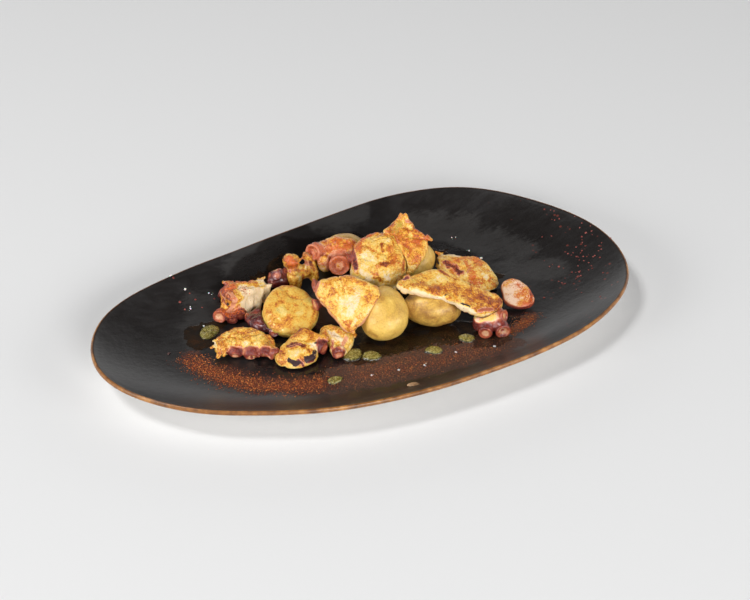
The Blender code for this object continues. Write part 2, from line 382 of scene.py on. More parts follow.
def seared_colour(tree, given, cloud, fine, grit):
    """Cream, gold or brown, as the paint layer says, broken up into speckles."""
    swing = calc(tree, "ADD", scaled(tree, cloud, 0.70, -0.35), scaled(tree, fine, 1.45, -0.725))
    swing = calc(tree, "ADD", swing, scaled(tree, grit, 0.60, -0.32))
    reach = calc(tree, "MULTIPLY", given["Speckle"], step_between(tree, given["Sear"], -0.08, 0.28))
    sear = calc(tree, "ADD", given["Sear"], calc(tree, "MULTIPLY", swing, reach), clamp=True)
    warm = blend(tree, step_between(tree, sear, 0.02, 0.20), given["Flesh"], given["Gold"])
    return blend(tree, step_between(tree, sear, 0.26, 0.40), warm, colour_ramp(tree, sear, BROWN_STOPS))


def paprika_dust(tree, place, spice, cloud):
    """Where the fine spice sticks: more of it as the paint layer rises, and none where that is 0."""
    patches = calc(tree, "ADD", noise(tree, place, 0.8, 3.0, 0.7), calc(tree, "MULTIPLY", cloud, 0.25))
    dust = step_between(tree, patches, scaled(tree, spice, -0.36, 0.82), scaled(tree, spice, -0.36, 0.94))
    return calc(tree, "MULTIPLY", dust, calc(tree, "MINIMUM", calc(tree, "MULTIPLY", spice, 6.0), 1.0))


def browning_group():
    tree, given, result = new_group(
        "browning",
        [("Vector", "Vector")] + [(layer.title(), "Float", 0.0) for layer in LAYERS]
        + [("Speckle", "Float", 1.0), ("Flesh", "Color", (*FLESH, 1.0)), ("Gold", "Color", (*GOLD, 1.0))],
        [("Color", "Color"), ("Height", "Float"), ("Roughness", "Float")],
    )
    place = given["Vector"]
    cloud = noise(tree, place, 5.0, 3.0, 0.6, 0.4)
    fine = noise(tree, place, 1.4, 4.0, 0.7, 0.8)
    grit = noise(tree, place, 0.6, 3.0, 0.7)
    colour = seared_colour(tree, given, cloud, fine, grit)
    green = calc(tree, "MULTIPLY", given["Olive"], step_between(tree, fine, 0.25, 0.6))
    colour = blend(tree, green, colour, OLIVE)
    skin_share = calc(tree, "ADD", given["Skin"], scaled(tree, fine, 0.5, -0.25), clamp=True)
    skin_here = step_between(tree, given["Skin"], 0.06, 0.24)
    colour = blend(tree, skin_here, colour, colour_ramp(tree, skin_share, SKIN_STOPS))
    colour = blend(tree, paprika_dust(tree, place, given["Spice"], cloud), colour, PAPRIKA_RED)
    pepper = calc(tree, "LESS_THAN", cell_distance(tree, place, 2.6), 0.10)
    colour = blend(tree, calc(tree, "MULTIPLY", pepper, 0.75), colour, PEPPER_BROWN)
    burnt = step_between(tree, calc(tree, "ADD", given["Char"], scaled(tree, fine, 0.7, -0.35)), 0.38, 0.62)
    tree.links.new(blend(tree, burnt, colour, BURNT), result["Color"])
    tree.links.new(scaled(tree, grit, 0.55, calc(tree, "MULTIPLY", fine, 0.75)), result["Height"])
    tree.links.new(scaled(tree, burnt, 0.30, scaled(tree, fine, 0.34, 0.16)), result["Roughness"])
    return tree


browning = browning_group()
print("browning group:", len(browning.nodes), "nodes")


# %% [markdown]
# ## Four kinds of flesh
#
# All the cooked pieces share the browning group and differ in their own numbers: how pale the flesh is, how
# strong the speckles are, how rough and how moist the surface is. Light goes a millimetre or so into
# the flesh, which is what keeps it from looking like plaster.

# %% The flesh materials
def food_material(name, flesh, gold, speckle, relief, base_rough, moist, glow):
    made, tree, shader, place = new_material(name)
    layers = {layer.title(): painted(tree, layer) for layer in LAYERS}
    out = use_group(tree, browning, Vector=place, Speckle=speckle, Flesh=(*flesh, 1.0), Gold=(*gold, 1.0),
                    **layers)
    finish_shader(
        tree, shader, out["Color"], calc(tree, "ADD", out["Roughness"], base_rough), out["Height"], relief,
        IOR=1.50, Coat_Weight=moist, Coat_Roughness=0.12, Subsurface_Weight=glow,
        Subsurface_Radius=(0.9, 0.45, 0.25), Subsurface_Scale=1.6 * MM,
    )
    return made


# Name: flesh, gold, speckle, relief in mm, roughness added, coat, light taken in.
FLESH_KINDS = {
    "octopus_seared": (FLESH, GOLD, 1.0, 0.55, -0.10, 0.22, 0.08),
    "octopus_paprika": ((0.92, 0.65, 0.46), (0.84, 0.40, 0.10), 1.0, 0.50, -0.10, 0.4, 0.10),
    "octopus_skin": ((0.86, 0.52, 0.36), GOLD, 0.9, 0.40, -0.12, 0.6, 0.08),
    "potato_flesh": ((0.88, 0.66, 0.22), (0.82, 0.54, 0.10), 0.85, 0.40, 0.06, 0.4, 0.08),
}
finishes = {name: food_material(name, *values) for name, values in FLESH_KINDS.items()}
print("flesh materials:", sorted(finishes))


# %% [markdown]
# ## Potato skin
#
# A waxy baby potato is smooth and moist, yellow with slightly darker olive patches and a few pores. It
# needs only soft colour changes a centimetre wide, tiny freckles and a gentle gloss.

# %% The potato material
POTATO_STOPS = (
    (0.22, (0.93, 0.68, 0.24)), (0.42, (0.85, 0.57, 0.135)), (0.62, (0.70, 0.42, 0.085)),
    (0.82, (0.42, 0.21, 0.045)), (1.0, (0.26, 0.11, 0.026)),
)


def potato_material():
    made, tree, shader, place = new_material("potato_skin")
    cloud = noise(tree, place, 9.0, 3.0, 0.55, 0.5)
    fine = noise(tree, place, 1.1, 3.0, 0.6)
    shade = calc(tree, "ADD", scaled(tree, cloud, 0.78, -0.05), calc(tree, "MULTIPLY", fine, 0.36))
    shade = scaled(tree, painted(tree, "sear"), 0.45, shade)
    # The olive layer darkens the skin; on the whole potato it is partly painted shade.
    shade = scaled(tree, painted(tree, "olive"), 0.30, shade)
    pores = calc(tree, "MULTIPLY", step_between(tree, cell_distance(tree, place, 1.9), 0.16, 0.08), 0.45)
    colour = blend(tree, pores, colour_ramp(tree, shade, POTATO_STOPS), (0.34, 0.17, 0.04))
    burnt = calc(tree, "ADD", painted(tree, "char"), scaled(tree, fine, 0.5, -0.25))
    colour = blend(tree, step_between(tree, burnt, 0.4, 0.6), colour, (0.05, 0.02, 0.012))
    height = calc(tree, "ADD", fine, calc(tree, "MULTIPLY", pores, -0.8))
    finish_shader(
        tree, shader, colour, scaled(tree, fine, 0.40, 0.16), height, 0.34, IOR=1.42,
        Coat_Weight=0.15, Coat_Roughness=0.20, Subsurface_Weight=0.10,
        Subsurface_Radius=(1.0, 0.6, 0.2), Subsurface_Scale=1.6 * MM,
    )
    return made


finishes["potato_skin"] = potato_material()
print("potato material:", len(finishes["potato_skin"].node_tree.nodes), "nodes")


# %% [markdown]
# ## The plate
#
# A thrown coupe plate is a turned shape pulled into a free oval. Its section is drawn once, from the
# middle of the well over the rolled rim to the foot, and spun about the upright axis in one full turn.
# Each ring is then stretched to the outline, which is read from the plain solid: the farthest point of
# its rim in every direction. The rim keeps its width all the way round.

# %% Read the outline of the plain plate
plate_low, plate_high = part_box("plate")
RIM_HEIGHT = plate_high.z
SECTION_STEPS = 216
SMOOTHING = 0.09  # radians to either side
solid_points = points_of(frame["nodes"]["plate"].data)
rim_points = solid_points[solid_points[:, 2] > RIM_HEIGHT - 2.0 * MM]
rim_angles = np.arctan2(rim_points[:, 1], rim_points[:, 0])
rim_reach = np.hypot(rim_points[:, 0], rim_points[:, 1])


def read_outline(count=60):
    """The rim's farthest point near each of count directions, as (angles, reaches)."""
    angles, reaches = [], []
    for step in range(count):
        middle = math.tau * step / count - math.pi
        near = np.abs((rim_angles - middle + math.pi) % math.tau - math.pi) < math.pi / count
        if near.any():
            best = np.flatnonzero(near)[rim_reach[near].argmax()]
            angles.append(rim_angles[best])
            reaches.append(rim_reach[best])
    order = np.argsort(angles)
    return np.array(angles)[order], np.array(reaches)[order]


def smooth_outline(angle):
    """The reach at an angle, on a smooth curve through the read points."""
    angles, reaches = OUTLINE
    wrapped = np.concatenate([angles - math.tau, angles, angles + math.tau])
    values = np.tile(reaches, 3)
    spread = np.linspace(-SMOOTHING, SMOOTHING, 13)
    weights = np.cos(spread / SMOOTHING * math.pi / 2)
    total = sum(weight * np.interp(angle + offset, wrapped, values)
                for offset, weight in zip(spread, weights))
    return total / weights.sum()


OUTLINE = read_outline()
print("outline read in", len(OUTLINE[0]), "directions, longest", round(OUTLINE[1].max(), 4))

# %% [markdown]
# ## The section, from the well to the foot
#
# The well is flat in the middle and rises to the rim in one slow curve. The rim is a rolled edge only a few
# millimetres wide, so its points are given as insets from the edge instead of shares of the reach, and it
# stays as wide at the long ends as at the sides. Under it the wall runs down to a low foot ring.

# %% Draw the section
WIDE = 0.15  # the reach that the section is drawn at, before it is stretched
WELL = (
    (0.0, 6.5), (0.10, 6.5), (0.20, 6.5), (0.30, 6.5), (0.40, 6.52), (0.50, 6.6), (0.58, 6.8), (0.65, 7.3),
    (0.71, 8.2), (0.77, 10.0), (0.83, 12.8), (0.885, 16.2), (0.93, 19.5),
)
ROLLED_RIM = (
    (3.4, 0.95), (2.7, 0.50), (2.1, 0.18), (1.5, 0.0), (0.95, 0.10), (0.45, 0.50), (0.12, 1.10), (0.0, 1.80),
    (0.15, 2.50), (0.55, 3.05), (1.2, 3.5), (2.2, 4.1),
)
UNDERSIDE = (
    (0.96, 17.6), (0.92, 14.7), (0.86, 10.8), (0.80, 7.2), (0.74, 4.6), (0.69, 3.0), (0.645, 2.0),
    (0.628, 0.6), (0.62, 0.0), (0.605, 0.0), (0.60, 0.5), (0.585, 2.0), (0.40, 2.1), (0.20, 2.1), (0.0, 2.1),
)


def plate_section():
    """Half a section as (share of the reach, inset from the edge in mm, height in mm)."""
    top = RIM_HEIGHT / MM
    rows = [(share, 0.0, height) for share, height in WELL] + [(0.965, 0.0, top - 1.9)]
    rows += [(1.0, inset, top - drop) for inset, drop in ROLLED_RIM]
    return rows + [(share, 0.0, height) for share, height in UNDERSIDE]


print("section points:", len(plate_section()))


# %% [markdown]
# ## Spin, then stretch
#
# A full spin makes a round plate. Inside the lip every ring is scaled to the outline; the lip itself is
# only moved outwards, so its roll keeps its shape. A very slow sway of a third of a millimetre makes the rim
# look thrown by hand. The rim and the underside are marked as paint layers for the glaze.

# %% Spin it, stretch it and mark the rim
LIP = 0.14  # the reach where the lip begins
SWAY = 0.35  # millimetres
RIM_BAND = (0.1474, 0.1492)
GLAZE_LINE = (-0.0212, -0.0204)  # below this height, with its sign turned, the outside is bare clay


def spun(shape, line, steps):
    """Turns a line of vertices once about the upright axis."""
    edges = [shape.edges.new(pair) for pair in zip(line, line[1:])]
    bmesh.ops.spin(shape, geom=line + edges, axis=(0, 0, 1), cent=(0, 0, 0), dvec=(0, 0, 0),
                   angle=math.tau, steps=steps, use_merge=True)


def mesh_from(shape, name):
    """Puts a finished bmesh into a new mesh and frees it."""
    mesh = bpy.data.meshes.new(name)
    shape.to_mesh(mesh)
    shape.free()
    return mesh


def build_plate():
    shape = bmesh.new()
    spun(shape, [shape.verts.new((WIDE * share - inset * MM, 0.0, height * MM))
                 for share, inset, height in plate_section()], SECTION_STEPS)
    bmesh.ops.remove_doubles(shape, verts=shape.verts, dist=0.000002)
    bmesh.ops.recalc_face_normals(shape, faces=shape.faces)
    mesh = mesh_from(shape, "plate_glazed")
    points = points_of(mesh)
    radius = np.hypot(points[:, 0], points[:, 1])
    angle = np.arctan2(points[:, 1], points[:, 0])
    reach = smooth_outline(angle)
    grown = np.where(radius < LIP, radius * (reach - (WIDE - LIP)) / LIP, radius + reach - WIDE)
    points[:, 0] = grown * np.cos(angle)
    points[:, 1] = grown * np.sin(angle)
    share = np.clip(radius / WIDE, 0, 1)
    under = normals_of(mesh)[:, 2] < -0.05
    sway = lumps(np.column_stack([points[:, :2], np.zeros(len(points))]), 70, 3) * SWAY * MM
    points[:, 2] += np.where(under & (share < 0.66), 0, sway * ramp(share, 0.72, 0.95))
    least, most = points.min(0), points.max(0)
    low, high = np.array(plate_low), np.array(plate_high)
    points[:, :2] = (low + (points - least) * (high - low) / (most - least))[:, :2]
    set_points(mesh, points)
    set_paint(mesh, "rim", ramp(radius, *RIM_BAND))
    set_paint(mesh, "underside", np.where(under, ramp(-points[:, 2], *GLAZE_LINE), 0.0))
    mesh.shade_smooth()
    return mesh


plate_mesh = build_plate()
print("plate faces:", len(plate_mesh.polygons))


# %% [markdown]
# ## The plate's glaze
#
# The glaze is a charcoal that is almost black, with soft brush marks, and it breaks to golden brown where
# it thins on the rim. The underside is pale stoneware. In use the well has picked up a film of oil, which
# makes it darker and glossier round the food, and a haze of paprika and dried juices in front of it. Both
# are paint layers on the plate's own mesh, broken up by noise in the material.

# %% Paint the plate: oil, haze and paprika
# Paths in millimetres from the middle of the plate.
OIL_PATH = (
    (-70, 0), (-35, -25), (5, -30), (45, -35), (75, -35), (60, 5), (70, 35), (30, 60), (-20, 70), (-60, 50),
)
PAPRIKA_PATH = ((-124, 8), (-118, -10), (-106, -27), (-92, -40), (-74, -49), (-54, -54))
DUST_PATH = ((-42, -56), (-20, -59), (2, -63), (22, -66), (42, -68), (64, -66))
RIGHT_DUST = ((74, -60), (88, -56), (99, -52))
SMEARS = (
    ((96, 58), (112, 66)), ((112, 48), (128, 36), (136, 20)), ((98, 72), (84, 80)),
    ((-112, 30), (-104, 44), (-92, 58)), ((-60, 74), (-30, 92)), ((10, 100), (40, 104)),
    ((120, 5), (136, -8)),
)


def flat_paths(points, path):
    """Each point's distance from a path, seen from above."""
    level = np.column_stack([points[:, :2], np.zeros(len(points))])
    return along(level, [(x * MM, y * MM, 0.0) for x, y in path])


def beside(points, path, wander, full, none):
    """1 within full millimetres of a path and 0 beyond none, with a wandering border."""
    return 1 - ramp(flat_paths(points, path) + wander, full * MM, none * MM)


def paint_plate(mesh):
    points = points_of(mesh)
    wander = lumps(points, 22, 11, 2) * 6 * MM
    oil = beside(points, OIL_PATH, wander, 18, 34)
    dust = beside(points, DUST_PATH, wander * 0.8, 9, 21)
    smear = np.zeros(len(points))
    for path in SMEARS:
        smear = np.maximum(smear, beside(points, path, wander, 6, 22))
    layers = {
        "oil": oil,
        "paprika": beside(points, PAPRIKA_PATH, wander * 0.5, 5, 13),
        "dust": np.maximum(dust, 0.8 * beside(points, RIGHT_DUST, wander * 0.4, 3, 9)),
        "smear": smear,
        "freckle": ramp(points[:, 0] - 0.3 * points[:, 1], 0.105, 0.165) * (1 - oil),
    }
    for name, values in layers.items():
        set_paint(mesh, name, values)
    print("plate layers:", sorted(layers))


paint_plate(plate_mesh)


# %% [markdown]
# ## The glaze
#
# The glaze is a warm black with cloudy strokes left by the brush, broken to golden brown where it runs thin
# over the rim. On it lie, in this order, a pale haze, the darker oil, brown dust, paprika and a few red
# freckles. Each of these is its own small function, so that a colour can be changed without hunting
# through one long tree.

# %% The glaze colours
GLAZE_STOPS = (
    (0.30, (0.0085, 0.0068, 0.0062)), (0.50, (0.0150, 0.0130, 0.0125)), (0.72, (0.0270, 0.0250, 0.0250)),
)
RIM_STOPS = ((0.30, (0.11, 0.038, 0.009)), (0.52, (0.25, 0.098, 0.021)), (0.72, (0.45, 0.205, 0.052)))


def hazy(tree, brushed, strokes):
    scuffs = noise(tree, brushed, 5.0, 5.0, 0.65, 0.8)
    smear = calc(tree, "MULTIPLY", painted(tree, "smear"), calc(tree, "ADD", strokes, 0.5))
    return step_between(tree, calc(tree, "ADD", smear, scaled(tree, scuffs, 1.6, -0.85)), 0.30, 0.95)


def dusted(tree, place):
    patches = scaled(tree, noise(tree, place, 8.0, 3.0, 0.6, 1.4), 1.5, -0.78)
    return step_between(tree, calc(tree, "ADD", painted(tree, "dust"), patches), 0.38, 0.50)


def spiced_band(tree, place):
    band = painted(tree, "paprika")
    patches = calc(tree, "ADD", band, scaled(tree, noise(tree, place, 5.0, 4.0, 0.65, 0.5), 1.3, -0.75))
    return calc(tree, "MULTIPLY", step_between(tree, patches, 0.20, 0.75), band)


def freckled(tree, place):
    dot = step_between(tree, cell_distance(tree, place, 6.5), 0.20, 0.10)
    here = calc(tree, "GREATER_THAN", noise(tree, place, 28.0, 2.0), 0.46)
    return calc(tree, "MULTIPLY", calc(tree, "MULTIPLY", dot, painted(tree, "freckle")), here)


def rimmed(tree, place, colour, strokes):
    """The colour with the glaze broken over the rim, red-brown first and golden at the very edge."""
    edge = calc(tree, "ADD", painted(tree, "rim"), scaled(tree, strokes, 0.4, -0.2))
    thin = calc(tree, "MULTIPLY", step_between(tree, edge, 0.05, 0.35), 0.8)
    colour = blend(tree, thin, colour, (0.040, 0.014, 0.006))
    golden = colour_ramp(tree, noise(tree, place, 7.0, 3.0, 0.6), RIM_STOPS)
    return blend(tree, step_between(tree, edge, 0.50, 0.85), colour, golden)


print("colours of the glaze and of the rim:", len(GLAZE_STOPS), len(RIM_STOPS))


# %% [markdown]
# ## One material for the whole plate
#
# The layers are laid over each other from the glaze up, and each also changes the gloss: oil makes the plate
# shine, haze and spice make it dull. The unglazed clay underneath is pale and slightly grainy. A fine
# peel and the grains of spice give the relief.

# %% The glaze material
def glaze_material():
    made, tree, shader, place = new_material("plate_glaze")
    brushed = add_node(
        tree, "Mapping", Vector=place, Scale=(1.0, 3.2, 1.0), Rotation=(0.0, 0.0, 0.5)).outputs["Vector"]
    strokes = noise(tree, brushed, 16.0, 4.0, 0.6, 1.2)
    broad = noise(tree, place, 34.0, 3.0, 0.55, 0.8)
    tone = calc(tree, "ADD", calc(tree, "MULTIPLY", broad, 0.6), calc(tree, "MULTIPLY", strokes, 0.4))
    grains = step_between(tree, noise(tree, place, 0.75, 2.0, 0.7), 0.42, 0.62)
    haze, dust, spice = hazy(tree, brushed, strokes), dusted(tree, place), spiced_band(tree, place)
    oil = calc(tree, "ADD", painted(tree, "oil"), scaled(tree, strokes, 0.6, -0.3))
    oil = step_between(tree, oil, 0.35, 0.60)
    under = step_between(tree, painted(tree, "underside"), 0.35, 0.65)

    def cover(share, strength, below, colour):
        return blend(tree, calc(tree, "MULTIPLY", share, strength), below, colour)

    colour = cover(haze, 0.50, colour_ramp(tree, tone, GLAZE_STOPS), (0.050, 0.047, 0.045))
    colour = cover(oil, 0.65, colour, (0.0075, 0.0055, 0.0050))
    colour = cover(dust, 0.95, colour, blend(tree, grains, (0.040, 0.024, 0.018), (0.150, 0.068, 0.042)))
    colour = cover(spice, 0.95, colour, blend(tree, grains, (0.022, 0.011, 0.009), (0.15, 0.040, 0.018)))
    colour = cover(freckled(tree, place), 0.8, colour, (0.150, 0.034, 0.024))
    colour = rimmed(tree, place, colour, strokes)
    clay = blend(tree, noise(tree, place, 1.2, 3.0, 0.6), (0.66, 0.63, 0.59), (0.76, 0.74, 0.71))
    dry = calc(tree, "MAXIMUM", dust, spice)
    rough = scaled(tree, strokes, 0.16, 0.26)
    for layer, change in ((haze, 0.10), (oil, -0.16), (dry, 0.30), (under, 0.15)):
        rough = scaled(tree, layer, change, rough)
    peel = calc(tree, "MULTIPLY", noise(tree, place, 3.2, 2.0, 0.5), 0.8)
    height = calc(tree, "ADD", peel, calc(tree, "MULTIPLY", strokes, 0.7))
    height = scaled(tree, dry, calc(tree, "MULTIPLY", grains, 1.0), height)
    finish_shader(tree, shader, blend(tree, under, colour, clay), rough, height, 0.16, IOR=1.5)
    return made


plate = linked("plate_glazed", plate_mesh)
plate.data.materials.append(glaze_material())
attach(plate, "root")
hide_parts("plate")
print("plate:", len(plate.data.polygons), "faces")


# %% [markdown]
# ## From a plain solid to soft flesh
#
# Cooked flesh has no sharp edges. The plain solid is divided so that its coarse faces bow out, remeshed into
# small even cells and smoothed, and then stretched back to the box that it came from, so that it still leans
# on its neighbours where the plain one did. The same steps serve for octopus and potato.

# %% Soft bodies
BODY_VOXEL = 0.8  # the cells of the remeshed shapes, in millimetres
SKIN_VOXEL = 0.42
POTATO_VOXEL = 0.7


def merged_copy(node):
    """The node's shape with its loose triangles joined, and its coarse faces divided so that they bow out."""
    shape = bmesh.new()
    shape.from_mesh(frame["nodes"][node].data)
    bmesh.ops.remove_doubles(shape, verts=shape.verts, dist=0.00002)
    bmesh.ops.subdivide_edges(shape, edges=shape.edges, cuts=2, smooth=0.6, use_grid_fill=True)
    return mesh_from(shape, node + "_soft")


def remeshed(mesh, voxel, passes):
    return with_modifiers(
        mesh,
        ("REMESH", {"mode": "VOXEL", "voxel_size": voxel * MM}),
        ("SMOOTH", {"factor": 0.5, "iterations": passes}),
    )


def middle_of(node):
    low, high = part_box(node)
    return (low + high) / 2


def fitted(mesh, node):
    """Moves and stretches the mesh to fill the node's box."""
    low, high = (np.array(corner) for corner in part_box(node))
    points = points_of(mesh)
    least, most = points.min(0), points.max(0)
    set_points(mesh, low + (points - least) * (high - low) / (most - least))


print("cells of a body and of its skin:", BODY_VOXEL, SKIN_VOXEL, "mm")


# %% [markdown]
# ## Suckers
#
# A sucker is a short stalk that widens to a lip round a cup. Its section is spun like the plate's and set in
# the flesh at the place and in the direction that a table gives. No two are alike on a real arm: heat has
# closed some to pads and left others open, so the depth of the cup changes from one to the next.

# %% Suckers
# Half a sucker's section from its root to the middle of its cup: (distance from its axis, height), in radii.
CUP_SECTION = (
    (0.0, -1.55), (0.62, -1.5), (0.74, -1.0), (0.70, -0.45), (0.82, -0.16), (1.0, 0.02), (1.03, 0.18),
    (0.92, 0.30), (0.76, 0.27), (0.62, 0.12), (0.50, 0.06), (0.36, 0.02), (0.20, -0.14), (0.0, -0.20),
)
CUP_BRIM = 0.22  # the height that the cup is deepened from


def cup_frame(cup):
    """The place and the outward axes of a sucker given as (x, y, z, heading, pitch, radius, warmth)."""
    x, y, z, heading, pitch, radius = cup[:6]
    turn = Matrix.Rotation(math.radians(heading), 3, "Z") @ Matrix.Rotation(math.radians(90 - pitch), 3, "Y")
    return Vector((x, y, z)) * MM, turn, radius * MM


def cup_depth(number):
    """How deep a sucker's cup is: some are closed pads, some are open."""
    return (0.1, 1.7, 0.7, 1.2)[number % 4]


def add_cup(body, middle, cup, depth):
    """Spins a sucker's section and sets it in the body."""
    place, turn, radius = cup_frame(cup)
    shape = bmesh.new()
    line = []
    for across, height in CUP_SECTION:
        if across < 0.7 and height > -0.4:
            height = CUP_BRIM + (height - CUP_BRIM) * depth
        line.append(shape.verts.new((across * radius, 0.0, height * radius)))
    spun(shape, line, 28)
    bmesh.ops.transform(shape, matrix=Matrix.Translation(middle + place) @ turn.to_4x4(), verts=shape.verts)
    bmesh.ops.remove_doubles(shape, verts=shape.verts, dist=0.000005)
    mesh = mesh_from(shape, "cup")
    body.from_mesh(mesh)
    bpy.data.meshes.remove(mesh)


print("points in a sucker's section:", len(CUP_SECTION))


# %% [markdown]
# ## Torn tips, and growing it all together
#
# Where a slice was pulled from its neighbour, a tip of flesh stays on it: a flattened cone from its root to
# its point. Suckers and tips are only pushed into the body, and a second, finer remesh makes one closed skin
# of them, with a soft fillet at each root.

# %% Torn tips and the grown body
TIP_FLATNESS = 0.45
TIP_TAPER = 0.38


def add_tab(body, middle, root, tip, width):
    """A torn tip: a flattened cone from its root to its point, given in mm from the middle."""
    root, tip, width = Vector(root) * MM, Vector(tip) * MM, width * MM
    made = bmesh.ops.create_cone(body, cap_ends=True, segments=12, radius1=width, radius2=width * TIP_TAPER,
                                 depth=(tip - root).length)
    turn = (tip - root).to_track_quat("Z", "Y").to_matrix().to_4x4()
    place = Matrix.Translation(middle + (root + tip) / 2) @ turn
    flatter = Matrix.Diagonal((1.0, TIP_FLATNESS, 1.0, 1.0))
    bmesh.ops.transform(body, matrix=place @ flatter, verts=made["verts"])


def grown_body(node):
    """The soft body of a node, with its suckers and torn tips grown into it."""
    soft = remeshed(merged_copy(node), BODY_VOXEL, 8)
    fitted(soft, node)
    body = bmesh.new()
    body.from_mesh(soft)
    for number, cup in enumerate(CUPS.get(node, ())):
        add_cup(body, middle_of(node), cup, cup_depth(number))
    for tab in TABS.get(node, ()):
        add_tab(body, middle_of(node), *tab[:3])
    bmesh.ops.recalc_face_normals(body, faces=body.faces)
    return remeshed(mesh_from(body, node + "_grown"), SKIN_VOXEL, 2)


print("a torn tip is as thick as", TIP_FLATNESS, "of its width")
